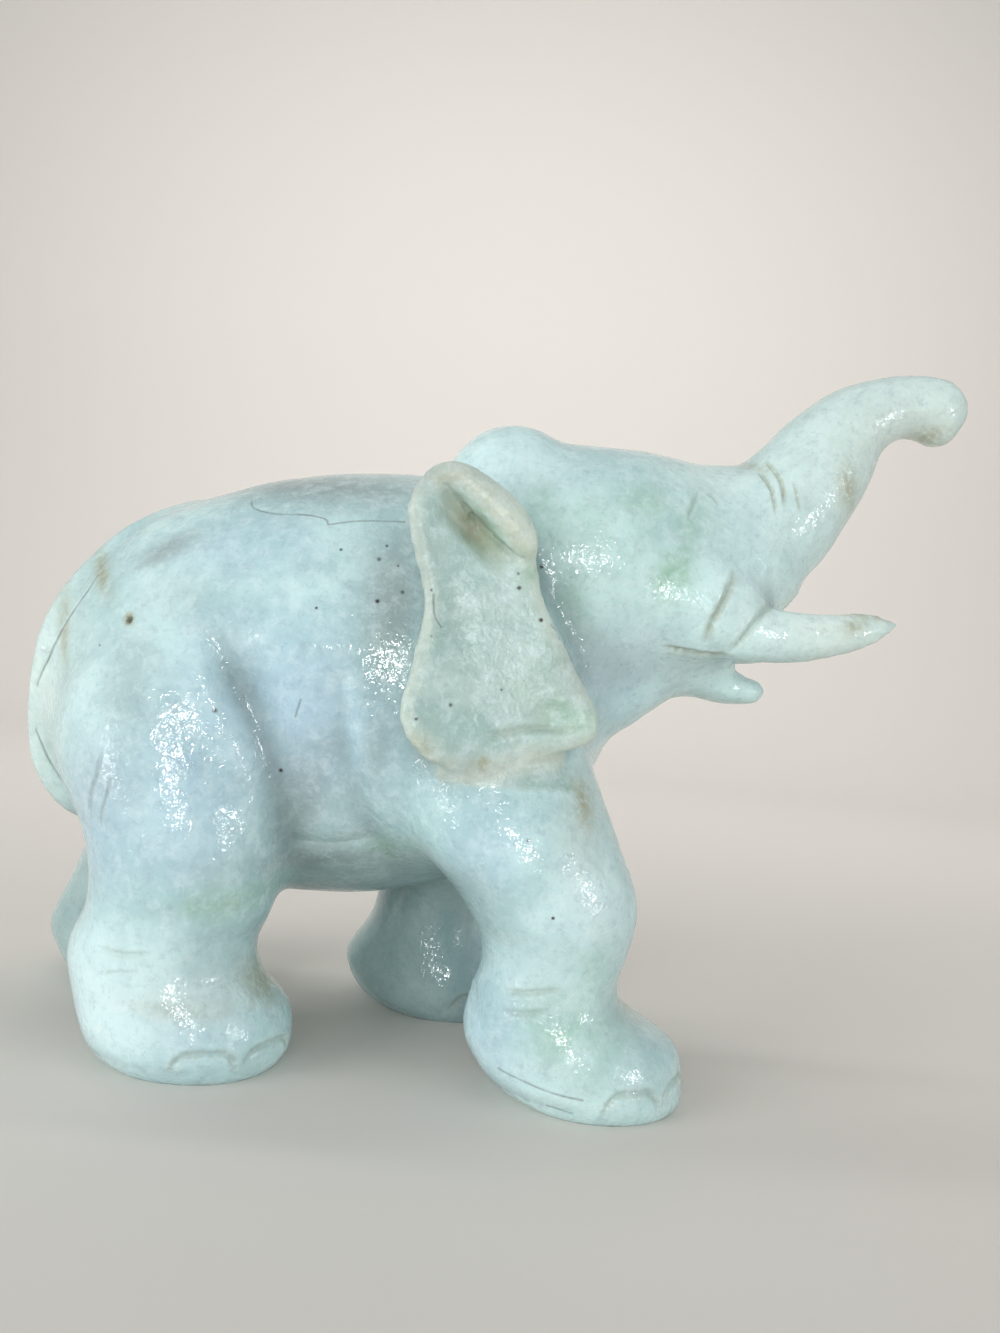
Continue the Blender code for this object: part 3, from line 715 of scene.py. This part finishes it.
NAIL_LINE = (0.8, 0.7, 0.5)  # half width, depth and how brown it is

# Lines that only the right side shows: points from the side as (x, z), half width and depth
FISSURES = [
    ([(-50.9, 105.8), (-49.5, 103.9), (-45.2, 103), (-38.7, 103.2), (-35.3, 102.7), (-34.4, 101.6)],
     0.35, 0.12),
    ([(-34.4, 101.6), (-28.7, 103), (-20.6, 103.7)], 0.35, 0.1),
    ([(6.2, 7.5), (14.8, 5.9), (21, 5.3)], 0.35, 0.12),
    ([(15.1, 3.1), (19.5, 2.5)], 0.3, 0.1),
    ([(-12.9, 89.7), (-12.3, 86.3), (-11, 84.2)], 0.3, 0.1),
    ([(8.1, 86.6), (9.4, 85.4), (9.9, 84.2)], 0.3, 0.1),
    ([(-35, 69.2), (-35.9, 66)], 0.3, 0.06),
    ([(-77.8, 88.5), (-79.3, 84.9), (-81.3, 81.3), (-83.1, 77.7), (-85.9, 71.5), (-88.3, 66.4)], 0.5, 0.4),
    ([(-89.3, 57.6), (-88, 54.3), (-86.4, 51), (-84.1, 47.8), (-81.5, 45.2)], 0.5, 0.4),
]
PIT = (-67.7, 80.6)
PIT_SIZE = (0.95, 1.1)  # radius and depth
SPECKS = [
    (5.7, 97.6), (1.4, 95.1), (1.8, 92.6), (-12.5, 82.5), (-13.6, 68.2), (-13.3, 90.5), (-8.1, 71),
    (0.4, 74.4), (6.2, 87.3), (-31.1, 96.9), (-24, 95.8), (-23, 98.5), (-20.4, 94.9), (-19, 90.1),
    (-23.2, 88), (-33.7, 85.7), (-49.4, 66), (-38.2, 55.8), (-72.4, 75.4), (13, 36), (7.5, 49),
]
SPECK_SIZES = (0.14, 0.34)  # radius of the smallest and the largest
HOLLOW_SPREAD = 35  # how many times a place is drawn towards the mean of its neighbours
HOLLOW_SHARE = 0.7  # of the way there that it moves each time
HOLLOW_FULL = 1.1  # a hollow this deep gets the darkest painted shade
EAR_LESS_SHADE = 0.5  # how much less painted shade the ears' hollows get
UNDERSIDE_SHADE = 1.0  # how dark the painted shade on the inner sides of the legs and the underside is
RIM_WIDTH = 3.6  # of the paler edge around an ear
EAR_CREAM = 0.85  # how creamy the flaps are
FOLD_REACH = 3.4  # how far beside the ridge of an ear's fold the paler edge goes
FOLD_STAIN, VALLEY_STAIN = 0.3, 0.6  # how brown the fold and the hollow beside it are
STAIN_REACH = 1.6  # how far a groove's stain goes, in half widths

# Clouds of colour, mostly the stone's own: place (x, z), half width and half height, turn, strength
GREEN_CLOUDS = [
    ((30.5, 98.5), (3.8, 8), -20, 1),
    ((24, 112), (6, 4), 0, 0.6),
    ((16, 105), (12, 10), 0, 0.35),
    ((12, 92), (3, 8), 10, 0.5),
    ((33.5, 108), (4.5, 7), -30, 0.5),
    ((-45, 32.5), (9, 3.6), 12, 0.8),
    ((13, 71.5), (6.5, 3.4), -8, 0.9),
    ((7, 77), (7, 6), 0, 0.35),
    ((17, 15.5), (11, 8), -35, 0.6),
    ((21, 24), (4, 10), 0, 0.4),
    ((-17.8, 42.6), (4.5, 3.4), 0, 0.9),
    # Partly the stone's green, partly painted shade in the hollow under each ear's fold
    ((-5, 101.5), (9, 2.4), -42, 1),
    ((3, 96.5), (3.4, 2.4), -35, 1),
    ((6, 108), (5, 9), 15, 0.5),
    ((-21, 78), (6, 8), 0, 0.35),
]
# Partly the stone's dusky patches, partly painted shade: top of the back, behind the ear, jaw, belly,
# ridges
DUSKY_AND_SHADE_CLOUDS = [
    ((-64.1, 94.2), (7.5, 2.8), 35, 0.9),
    ((-20.5, 88), (6.5, 17), 0, 0.9),
    ((-35.6, 110), (30, 5), 3, 0.9),
    ((13, 78), (8, 6), 25, 0.5),
    ((-68, 52), (9, 9), 0, 0.35),
    ((-34, 50), (7, 14), -20, 0.7),
    ((-31, 39), (13, 3.5), 3, 0.9),
    ((-21, 60), (4, 12), -15, 0.5),
    ((-65, 70), (5.5, 12), 0, 0.45),
    ((-60, 86), (10, 6), 0, 0.3),
    ((-5, 60), (10, 4), 0, 0.35),
    ((-27, 50), (11, 10), 0, 0.4),
]
LILAC_CLOUDS = [
    ((-36, 66), (24, 20), 0, 0.9),
    ((-52, 52), (14, 22), 0, 0.7),
    ((-67, 47), (11, 16), 0, 0.8),
    ((0, 46), (9, 12), 0, 0.5),
    ((20, 76), (12, 9), 20, 0.5),
    ((4, 14), (8, 12), 0, 0.6),
    ((-46, 12), (12, 10), 0, 0.4),
    ((-48, 96), (18, 9), 10, 0.4),
]
# Painted light: paler where more light falls on feet, shins, rump, cheek and crown, and a highlight along
# the thigh's ridge
PAINTED_LIGHT_CLOUDS = [
    ((-66, 12), (16, 14), 0, 0.9),
    ((-74, 46), (8, 18), 10, 0.2),
    ((20, 36), (9, 9), 0, 0.9),
    ((12, 24), (9, 7), 0, 0.9),
    ((24, 84), (10, 7), 20, 0.9),
    ((1, 118), (11, 8), 0, 0.9),
    ((16, 8), (16, 8), 0, 0.6),
    ((44, 110), (12, 12), 0, 0.4),
    ((-44, 60), (3, 14), 20, 0.5),
]
CREAM_CLOUDS = [
    ((80, 130), (34, 30), 0, 1),
    ((62, 92), (18, 10), 0, 1),
    ((-88, 66), (12, 34), 0, 0.7),
    ((-44, 16), (14, 5), 0, 0.5),
    ((40, 122), (16, 10), 0, 0.4),
    ((17, 52), (5, 10), 0, 0.6),
]
BROWN_CLOUDS = [
    ((-1.8, 61.4), (1.6, 1.3), 0, 1),
    ((66.4, 120.8), (2.2, 4.5), 20, 0.8),
    ((83.6, 134.2), (3.6, 2.2), 20, 0.9),
    ((66, 92.5), (2.6, 1.6), 30, 0.8),
    ((69.5, 95), (6, 1.2), 0, 0.7),
    ((-50, 13.5), (9, 2.2), -5, 0.4),
    ((-38.5, 16.5), (4.6, 2.4), -50, 0.9),
    ((32.5, 16.4), (5, 1.6), -15, 0.6),
    ((17, 55.5), (1.8, 5), 15, 0.8),
    ((-77, 89), (1.8, 6), 38, 0.9),
    ((-82.6, 78), (1.4, 8), 15, 0.7),
    ((47, 124), (4, 2), -20, 0.5),
    ((-12.5, 64), (3, 2), -30, 0.5),
]
EAR_FOLD_EDGE = [(-13.4, 110.0), (-10.0, 110.6), (-5.5, 107.6), (-1.5, 103.6), (2.6, 98.8)]


def even_out(mesh, passes):
    """Smooths the skin without shrinking it."""
    links = link_ends(mesh)
    places = vertex_array(mesh, "co")
    for _ in range(passes):
        for share in (SMOOTHING_SHARE, GIVING_BACK):
            places = places + (neighbour_means(places, *links) - places) * share
    set_places(mesh, places)


def skin_of(mesh):
    """The mesh as a surface to lay lines on, in design millimetres."""
    return BVHTree.FromPolygons([v.co / MM for v in mesh.vertices], [f.vertices for f in mesh.polygons])


def found_lines(mesh):
    """Every groove laid on the skin: its points, half width, depth and stain."""
    skin = skin_of(mesh)
    front, rear = FRONT_STRIDE / MM, REAR_STRIDE / MM
    lines = []
    for side in (RIGHT, LEFT):
        behind = 0.0 if side == RIGHT else 1.0
        for points, *cut in GROOVES:
            lines.append((side_line(skin, points, side), *cut))
        for rows, stride in ((FRONT_LEG_GROOVES, front), (REAR_LEG_GROOVES, rear)):
            for points, *cut in rows:
                moved = [(x - behind * stride, z) for x, z in points]
                lines.append((side_line(skin, moved, side), *cut))
        for foot_x, stride in ((FRONT_FOOT_X / MM, front), (REAR_FOOT_X / MM, rear)):
            foot = Vector((foot_x - side * stride / 2, side * STANCE / 2 / MM, 0))
            for facing in NAIL_FACINGS:
                lines.append((nail_line(skin, foot, side * facing), *NAIL_LINE))
    return [line for line in lines if len(line[0]) > 1]


def found_fissures(mesh):
    """The fissures, laid on the right side, with no brown in them."""
    skin = skin_of(mesh)
    return [(side_line(skin, points, RIGHT), *cut, 0.0) for points, *cut in FISSURES]


def found_flaws(mesh):
    """The pit and the specks, laid on the right side."""
    skin = skin_of(mesh)
    hits = [skin.ray_cast(Vector((x, -SHARES, z)), Vector((0, 1, 0)))[0] for x, z in [PIT, *SPECKS]]
    return [hit for hit in hits if hit]


def refine(mesh, points, reaches):
    """Splits the skin's faces near the points, so that lines and pits can be cut crisply."""
    tree = kdtree.KDTree(len(points))
    for k, point in enumerate(points):
        tree.insert(point * MM, k)
    tree.balance()
    bm = bmesh.new()
    bm.from_mesh(mesh)
    for reach in reaches:
        close = [f for f in bm.faces if tree.find(f.calc_center_median())[2] < reach * MM]
        edges = {e for f in close for e in f.edges}
        bmesh.ops.subdivide_edges(bm, edges=list(edges), cuts=1, use_grid_fill=True)
    bmesh.ops.triangulate(bm, faces=[f for f in bm.faces if len(f.verts) > 4])
    bm.to_mesh(mesh)
    bm.free()


def engrave(mesh, lines):
    """Cuts the grooves, with a slightly raised shoulder on each side."""
    places, normals = vertex_array(mesh, "co") / MM, vertex_array(mesh, "normal")
    moves = np.zeros(len(places))
    for points, half_width, depth, _ in lines:
        close, nearest = closeness(places, points, SHOULDER_REACH * half_width)
        away = (1 - close) * SHOULDER_REACH
        fade = run_fade(points, 0.25)[nearest] * (close > 0)
        cut = np.clip(1 - away, 0, 1) ** 1.3
        shoulder = LIP * np.exp(-(((away - 1.5) / 0.45) ** 2))
        moves += fade * depth * (shoulder - cut)
    set_places(mesh, (places + normals * moves[:, None]) * MM)


def sink_pit(mesh):
    """The small hole that the stone has high on the haunch."""
    places, normals = vertex_array(mesh, "co") / MM, vertex_array(mesh, "normal")
    radius, depth = PIT_SIZE
    gap = np.hypot((places[:, 0] - PIT[0]) * 1.3, places[:, 2] - PIT[1]) / radius
    press = (1 - np.minimum(gap, 1) ** 2) ** 1.5 * (places[:, 1] < 0)
    set_places(mesh, (places - normals * (depth * press)[:, None]) * MM)


def ripple(mesh):
    """The shallow unevenness of stone that was ground and polished by hand."""
    places, normals = vertex_array(mesh, "co") / MM, vertex_array(mesh, "normal")
    moves = np.zeros(len(places))
    for length, height in WAVES:
        moves += height * np.array([noise.noise(Vector(p / length)) for p in places])
    set_places(mesh, (places + normals * moves[:, None]) * MM)


def store_painted_shade(mesh):
    """Stores painted shade: darker the deeper each place lies between the forms around it, and darker on
    the inner sides of the legs and the underside, where shade falls."""
    links = link_ends(mesh)
    start = vertex_array(mesh, "co")
    places = start.copy()
    for _ in range(HOLLOW_SPREAD):
        places += (neighbour_means(places, *links) - places) * HOLLOW_SHARE
    normals = vertex_array(mesh, "normal")
    shade_share = 1 - EAR_LESS_SHADE * on_ear(start / MM)
    depth = ((places - start) * normals).sum(1) / MM * shade_share
    x, y, z = start.T / MM
    inward = np.clip(-normals[:, 1] * np.sign(y) / 0.6 - 0.2, 0, 1)
    downward = np.clip(-normals[:, 2] / 0.5 - 0.5, 0, 1) * (z > 3)
    shade_between_legs = np.maximum(inward, downward) * np.clip((50 - z) / 12, 0, 1)
    store(mesh, "hollow", np.maximum(depth / HOLLOW_FULL, UNDERSIDE_SHADE * shade_between_legs))


def soft_ellipse(places, centre, radii, turn):
    """1 in the middle of a patch seen from the side, falling softly to 0."""
    angle = math.radians(turn)
    dx, dz = places[:, 0] - centre[0], places[:, 2] - centre[1]
    along = (dx * math.cos(angle) + dz * math.sin(angle)) / radii[0]
    across = (dz * math.cos(angle) - dx * math.sin(angle)) / radii[1]
    return np.exp(-1.2 * (along**2 + across**2))


def clouds(places, rows, far_share):
    """The strongest of the patches at each place; the far side has less of them."""
    value = np.zeros(len(places))
    side = np.clip(0.5 - places[:, 1] / 16.0, 0, 1)
    for centre, radii, turn, strength in rows:
        value = np.maximum(value, strength * soft_ellipse(places, centre, radii, turn))
    return value * (far_share + (1 - far_share) * side)


def on_ear(places):
    """1 on the flaps of the ears."""
    x, y, z = places.T
    out = np.clip((np.abs(y) - ear_stand(x, z) + 3.6) / 1.5, 0, 1)
    (x_low, x_high), (z_low, z_high) = EAR_FRAME
    return out * (x > x_low) * (x < x_high) * (z > z_low) * (z < z_high)


def store(mesh, name, values):
    attribute = mesh.attributes.new(name, "FLOAT", "POINT")
    attribute.data.foreach_set("value", np.clip(values, 0, 1).astype(np.float32))


def near_fold(places, skin):
    """1 on the ridge of an ear's fold, falling to 0."""
    ridges = [side_line(skin, EAR_FOLD_EDGE, side) for side in (RIGHT, LEFT)]
    return np.max([closeness(places, ridge, FOLD_REACH)[0] for ridge in ridges], axis=0)


def near_rim(places, ear):
    """1 at the edge of an ear's flap, falling to 0 inside it."""
    outline = np.array(closed_curve(EAR_OUTLINE))
    gap = np.full(len(places), np.inf)
    flap = np.flatnonzero(ear > 0)
    gap[flap] = np.linalg.norm(places[flap, None, ::2] - outline[None], axis=2).min(axis=1)
    return ear * np.clip(1 - gap / RIM_WIDTH, 0, 1)


def spot(places, x, z, radius, edge):
    """A round mark on the right side, which fades out over its last radius and ends at edge radii."""
    gap = np.hypot(places[:, 0] - x, places[:, 2] - z) / radius
    return np.clip(edge - gap, 0, 1) * (places[:, 1] < 0)


def stained(places, lines, skin):
    """How brown each place is: clouds, grooves, the hollows beside the ears' folds, and the pit."""
    brown = clouds(places, BROWN_CLOUDS, 0.4)
    for points, half_width, _, stain in lines:
        close, nearest = closeness(places, points, STAIN_REACH * half_width)
        brown = np.maximum(brown, stain * close * run_fade(points, 0.2)[nearest])
    valley, valley_width, _ = EAR_HOLLOWS[0]
    for side in (RIGHT, LEFT):
        bottom = side_line(skin, valley, side)
        close, nearest = closeness(places, bottom, valley_width)
        brown = np.maximum(brown, VALLEY_STAIN * close * run_fade(bottom, 0.5)[nearest])
    return np.maximum(brown, spot(places, *PIT, PIT_SIZE[0], 1.7))


def marked(places, skin):
    """How dark each place is: fissures, specks and the bottom of the pit."""
    marks = 0.6 * spot(places, *PIT, PIT_SIZE[0] / 1.4, 1.3)
    for points, _, _ in FISSURES:
        close, _ = closeness(places, side_line(skin, points, RIGHT), 0.3)
        marks = np.maximum(marks, 0.6 * close)
    sizes = np.random.default_rng(4).uniform(*SPECK_SIZES, len(SPECKS))
    for (x, z), size in zip(SPECKS, sizes):
        marks = np.maximum(marks, spot(places, x, z, size, 1.6))
    return marks


def paint(mesh, lines):
    """Stores where the stone is green, dusky, lilac, cream, dull, stained or marked, and where light is
    painted as paler patches; part of the green and the dusky is painted shade.
    """
    places = vertex_array(mesh, "co") / MM
    skin = skin_of(mesh)
    ear, fold = on_ear(places), near_fold(places, skin)
    store(mesh, "green", clouds(places, GREEN_CLOUDS, 0.5))
    store(mesh, "dusky", clouds(places, DUSKY_AND_SHADE_CLOUDS, 0.5))
    store(mesh, "lilac", clouds(places, LILAC_CLOUDS, 0.9) * (1 - ear))
    store(mesh, "pale", clouds(places, PAINTED_LIGHT_CLOUDS, 0.8))
    store(mesh, "cream", np.maximum(clouds(places, CREAM_CLOUDS, 1.0), EAR_CREAM * ear))
    store(mesh, "rim", np.maximum(near_rim(places, ear), fold))
    store(mesh, "dull", ear)
    store(mesh, "brown", np.maximum(stained(places, lines, skin), FOLD_STAIN * fold))
    store(mesh, "marks", marked(places, skin))


def fit_into(mesh, low, high):
    """Stretches the mesh by a hair, so that its box is the CAD solid's box."""
    places = vertex_array(mesh, "co")
    least, most = places.min(0), places.max(0)
    low, high = np.array(low), np.array(high)
    set_places(mesh, (places - least) / (most - least) * (high - low) + low)


def rgb(red, green, blue):
    """A colour as the eye's numbers, turned into the shader's linear ones."""
    return (*(((v / 255 + 0.055) / 1.055) ** 2.4 for v in (red, green, blue)), 1.0)


class Shading:
    """Adds nodes to a material one by one, and hands back the socket that each gives."""

    def __init__(self, name):
        self.material = bpy.data.materials.new(name)
        self.material.use_nodes = True
        self.tree = self.material.node_tree
        self.shader = self.tree.nodes["Principled BSDF"]
        self.places = self.tree.nodes.new("ShaderNodeTexCoord").outputs["Object"]
        self.colour = None

    def link(self, value, socket):
        if isinstance(value, bpy.types.NodeSocket):
            self.tree.links.new(value, socket)
        else:
            socket.default_value = value

    def grain(self, size, detail=2.0, roughness=0.5, seed=0.0, warp=0.0):
        """A noise whose blotches are about size metres across."""
        shift = self.tree.nodes.new("ShaderNodeMapping")
        shift.inputs["Location"].default_value = (seed, 2 * seed, 3 * seed)
        self.link(self.places, shift.inputs["Vector"])
        node = self.tree.nodes.new("ShaderNodeTexNoise")
        self.link(shift.outputs["Vector"], node.inputs["Vector"])
        node.inputs["Scale"].default_value = 1 / size
        node.inputs["Detail"].default_value = detail
        node.inputs["Roughness"].default_value = roughness
        node.inputs["Distortion"].default_value = warp
        return node.outputs["Fac"]

    def spread(self, value, low, high, to_low=0.0, to_high=1.0):
        """The value's range from low to high, eased onto another range."""
        node = self.tree.nodes.new("ShaderNodeMapRange")
        node.interpolation_type = "SMOOTHSTEP"
        self.link(value, node.inputs["Value"])
        for name, number in zip(("From Min", "From Max", "To Min", "To Max"), (low, high, to_low, to_high)):
            node.inputs[name].default_value = number
        return node.outputs["Result"]

    def calculate(self, operation, *values):
        node = self.tree.nodes.new("ShaderNodeMath")
        node.operation = operation
        for value, socket in zip(values, node.inputs):
            self.link(value, socket)
        return node.outputs[0]

    def product(self, one, other):
        return self.calculate("MULTIPLY", one, other)

    def painted(self, name):
        node = self.tree.nodes.new("ShaderNodeAttribute")
        node.attribute_name = name
        return node.outputs["Fac"]

    def over(self, base, colour, factor):
        """The colour laid over the base where factor says."""
        node = self.tree.nodes.new("ShaderNodeMix")
        node.data_type = "RGBA"
        self.link(factor, node.inputs["Factor"])
        self.link(base, node.inputs[6])
        self.link(colour, node.inputs[7])
        return node.outputs[2]

    def cover(self, colour, mask, strength):
        """Lays the colour over the stone's colour so far, where the mask says and so strongly."""
        self.colour = self.over(self.colour, colour, self.product(mask, strength))

    def bump(self, height, depth, below=None):
        node = self.tree.nodes.new("ShaderNodeBump")
        node.inputs["Strength"].default_value = 1.0
        node.inputs["Distance"].default_value = depth
        self.link(height, node.inputs["Height"])
        if below is not None:
            self.link(below, node.inputs["Normal"])
        return node.outputs["Normal"]


def jade():
    s = Shading("jade")
    cloudy = s.spread(s.grain(0.022, 3, 0.6, 1), 0.38, 0.64)
    s.colour = s.over(rgb(178, 211, 211), rgb(205, 235, 234), cloudy)
    s.cover(rgb(162, 192, 222), s.painted("lilac"), 0.65)
    s.cover(rgb(158, 184, 194), s.spread(s.grain(0.009, 4, 0.65, 2, 0.6), 0.45, 0.7), 0.3)
    # Painted light: paler patches where more light falls, and a painted highlight along the thigh's ridge
    s.cover(rgb(224, 244, 248), s.painted("pale"), 0.6)
    s.cover(rgb(218, 230, 222), s.painted("cream"), 0.75)
    mottled = s.spread(s.grain(0.014, 3, 0.6, 12), 0.4, 0.6, 0.5, 0.85)
    s.cover(rgb(150, 182, 176), s.painted("dull"), mottled)
    s.cover(rgb(216, 224, 210), s.painted("rim"), 0.8)
    # Green patches of the stone, and painted shade in the hollows under the ears' folds
    patchy = s.spread(s.grain(0.006, 4, 0.7, 3), 0.25, 0.6)
    s.cover(rgb(142, 184, 154), s.product(s.painted("green"), patchy), 0.85)
    # Dusky patches of the stone, and painted shade along the back, behind the ear, under the jaw and belly
    dusk = s.spread(s.grain(0.005, 4, 0.7, 4), 0.1, 0.5)
    s.cover(rgb(140, 152, 152), s.product(s.painted("dusky"), dusk), 0.85)
    crystals = s.spread(s.grain(0.0030, 6, 0.78, 5, 0.15), 0.44, 0.66)
    s.cover(rgb(222, 240, 242), crystals, 0.36)
    dots = s.spread(s.grain(0.0020, 6, 0.82, 6, 0.15), 0.48, 0.68)
    s.cover(rgb(140, 166, 176), dots, 0.32)
    # Painted shade: darker in the hollows, on the inner sides of the legs and underneath, olive on the ears
    hollow_shade_colour = s.over(rgb(104, 126, 126), rgb(134, 130, 98), s.painted("dull"))
    s.cover(hollow_shade_colour, s.painted("hollow"), 0.52)
    rust = s.spread(s.grain(0.0014, 3, 0.6, 7), 0.2, 0.6)
    s.cover(rgb(152, 142, 94), s.product(s.painted("brown"), rust), 0.8)
    broken = s.spread(s.grain(0.003, 3, 0.6, 11), 0.3, 0.6, 0.55, 1.0)
    s.cover(rgb(52, 48, 44), s.painted("marks"), broken)
    s.link(s.colour, s.shader.inputs["Base Color"])
    polish = s.spread(s.grain(0.012, 2, 0.5, 8), 0.3, 0.7, 0.09, 0.17)
    rough = s.calculate("MULTIPLY_ADD", s.painted("dull"), 0.22, polish)
    s.link(rough, s.shader.inputs["Roughness"])
    s.shader.inputs["IOR"].default_value = 1.66
    s.shader.inputs["Subsurface Weight"].default_value = 0.3
    s.shader.inputs["Subsurface Radius"].default_value = (1.0, 0.95, 0.85)
    s.shader.inputs["Subsurface Scale"].default_value = 0.003
    fine = s.bump(s.grain(0.0013, 2, 0.5, 9, 0.5), 0.0002)
    s.link(s.bump(s.grain(0.0034, 2, 0.5, 10), 0.00014, fine), s.shader.inputs["Normal"])
    return s.material


def press_flanks(mesh):
    """The belly set back between the thigh and the front leg, and the hollows of the ears."""
    skin = skin_of(mesh)
    places, normals = vertex_array(mesh, "co") / MM, vertex_array(mesh, "normal")
    for side in (RIGHT, LEFT):
        set_belly_back(places, side)
        for points, half_width, depth in EAR_HOLLOWS:
            cut_line(places, normals, side_line(skin, points, side), half_width, depth)
    set_places(mesh, places * MM)


def carved_elephant():
    collection = bpy.data.collections.new("Looks")
    bpy.context.scene.collection.children.link(collection)
    figure = bpy.data.objects.new("jade_elephant", join_forms(body_parts()))
    collection.objects.link(figure)
    merge_skin(figure)
    soften_hollows(figure.data, HOLLOW_PASSES)
    carve(figure, mouth_hollow())
    figure.data = join_forms([figure.data, *applied_parts()])
    merge_skin(figure)
    soften_hollows(figure.data, CRISP_PASSES)
    even_out(figure.data, EVEN_PASSES)
    press_flanks(figure.data)
    store_painted_shade(figure.data)
    ripple(figure.data)
    cut_soles(figure.data)
    lines, fissures = found_lines(figure.data), found_fissures(figure.data)
    marks = [*found_flaws(figure.data), *(point for points, *_ in fissures for point in points)]
    refine(figure.data, [*marks, *(point for points, *_ in lines for point in points)], FINE_REACHES)
    refine(figure.data, marks, MARK_REACHES)
    lines += fissures
    engrave(figure.data, lines)
    sink_pit(figure.data)
    paint(figure.data, lines)
    fit_into(figure.data, cad_low, cad_high)
    figure.data.materials.clear()
    figure.data.materials.append(jade())
    figure.data.shade_smooth()
    return figure


# The room: a pale floor that curves up behind the figure, and soft light
FLOOR_HALF_WIDTH = 1.6
FLOOR_FRONT, FLOOR_BACK = -1.2, 0.55
SWEEP_RADIUS = 0.5
WALL_TOP = 2.0
SWEEP_STEPS = 16
CAMERA_PLACE = (0.00229, -0.211, 0.0785)
CAMERA_ROLL = 5.45
FOCAL_PIXELS = 1001.0
PHOTO_LONG_SIDE = 1333
SENSOR = 36.0
MIDDLE = Vector((0, 0, 0.07))


def sweep():
    """The floor and the wall behind it, in one piece."""
    profile = [(FLOOR_FRONT, 0.0), (FLOOR_BACK, 0.0)]
    for k in range(1, SWEEP_STEPS + 1):
        angle = math.pi / 2 * k / SWEEP_STEPS
        profile.append((FLOOR_BACK + SWEEP_RADIUS * math.sin(angle), SWEEP_RADIUS * (1 - math.cos(angle))))
    profile.append((FLOOR_BACK + SWEEP_RADIUS, WALL_TOP))
    bm = bmesh.new()
    rows = [[bm.verts.new((x, y, z)) for x in (-FLOOR_HALF_WIDTH, FLOOR_HALF_WIDTH)] for y, z in profile]
    for (a, b), (c, d) in zip(rows, rows[1:]):
        bm.faces.new((a, b, d, c))
    mesh = bpy.data.meshes.new("floor")
    bm.to_mesh(mesh)
    bm.free()
    mesh.shade_smooth()
    floor = bpy.data.objects.new("floor", mesh)
    bpy.context.scene.collection.objects.link(floor)
    paper = bpy.data.materials.new("paper")
    paper.use_nodes = True
    shader = paper.node_tree.nodes["Principled BSDF"]
    shader.inputs["Base Color"].default_value = rgb(226, 222, 216)
    shader.inputs["Roughness"].default_value = 0.8
    mesh.materials.append(paper)


def softbox(name, place, size, power, diffuse=True, glossy=True, aim=MIDDLE):
    """An area light that looks at the figure's middle or elsewhere. It may leave out the glints, or
    give only them."""
    data = bpy.data.lights.new(name, "AREA")
    data.shape = "RECTANGLE"
    data.size, data.size_y = size
    data.energy = power
    light = bpy.data.objects.new(name, data)
    light.visible_diffuse = diffuse
    light.visible_glossy = glossy
    light.location = place
    light.rotation_euler = (aim - place).to_track_quat("-Z", "Y").to_euler()
    bpy.context.scene.collection.objects.link(light)


def towards(azimuth, elevation, distance):
    """A place around the figure: azimuth 0 is the camera's side and 90 the side the figure walks to."""
    a, e = math.radians(azimuth), math.radians(elevation)
    out = Vector((math.sin(a) * math.cos(e), -math.cos(a) * math.cos(e), math.sin(e)))
    return MIDDLE + out * distance


def light_room():
    world = bpy.data.worlds.new("studio")
    bpy.context.scene.world = world
    world.use_nodes = True
    sky = world.node_tree.nodes["Background"]
    sky.inputs["Color"].default_value = (1.0, 1.0, 1.0, 1.0)
    sky.inputs["Strength"].default_value = 0.32
    softbox("key", towards(-6, 12, 1.0), (0.6, 0.6), 2.9, glossy=False)
    softbox("left", towards(-52, 12, 1.0), (0.6, 0.6), 5.3, glossy=False)
    softbox("right", towards(60, 9, 1.0), (0.6, 0.6), 3.0, glossy=False)
    softbox("backdrop", Vector((0, 0.15, 0.75)), (1.2, 0.3), 5.0, glossy=False, aim=Vector((0, 1.2, 0.25)))
    softbox("window", towards(8, 7, 0.62), (0.06, 0.06), 0.5, diffuse=False)
    softbox("lamp", towards(55, 3, 0.6), (0.06, 0.06), 0.3, diffuse=False)
    softbox("glow", towards(-46, -3, 0.6), (0.05, 0.05), 0.16, diffuse=False)


def place_camera():
    data = bpy.data.cameras.new("camera")
    data.sensor_width = SENSOR
    data.lens = FOCAL_PIXELS / PHOTO_LONG_SIDE * SENSOR
    data.clip_start = 0.01
    camera = bpy.data.objects.new("camera", data)
    roll = math.radians(CAMERA_ROLL)
    up = Vector((-math.sin(roll), 0, math.cos(roll)))
    back = Vector((0, -1, 0))
    right = up.cross(back)
    camera.matrix_world = Matrix((right, up, back)).transposed().to_4x4()
    camera.location = CAMERA_PLACE
    bpy.context.scene.collection.objects.link(camera)
    bpy.context.scene.camera = camera


elephant = carved_elephant()
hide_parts("elephant")
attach(elephant, "root")
sweep()
light_room()
place_camera()
bpy.context.scene.view_settings.view_transform = "Standard"
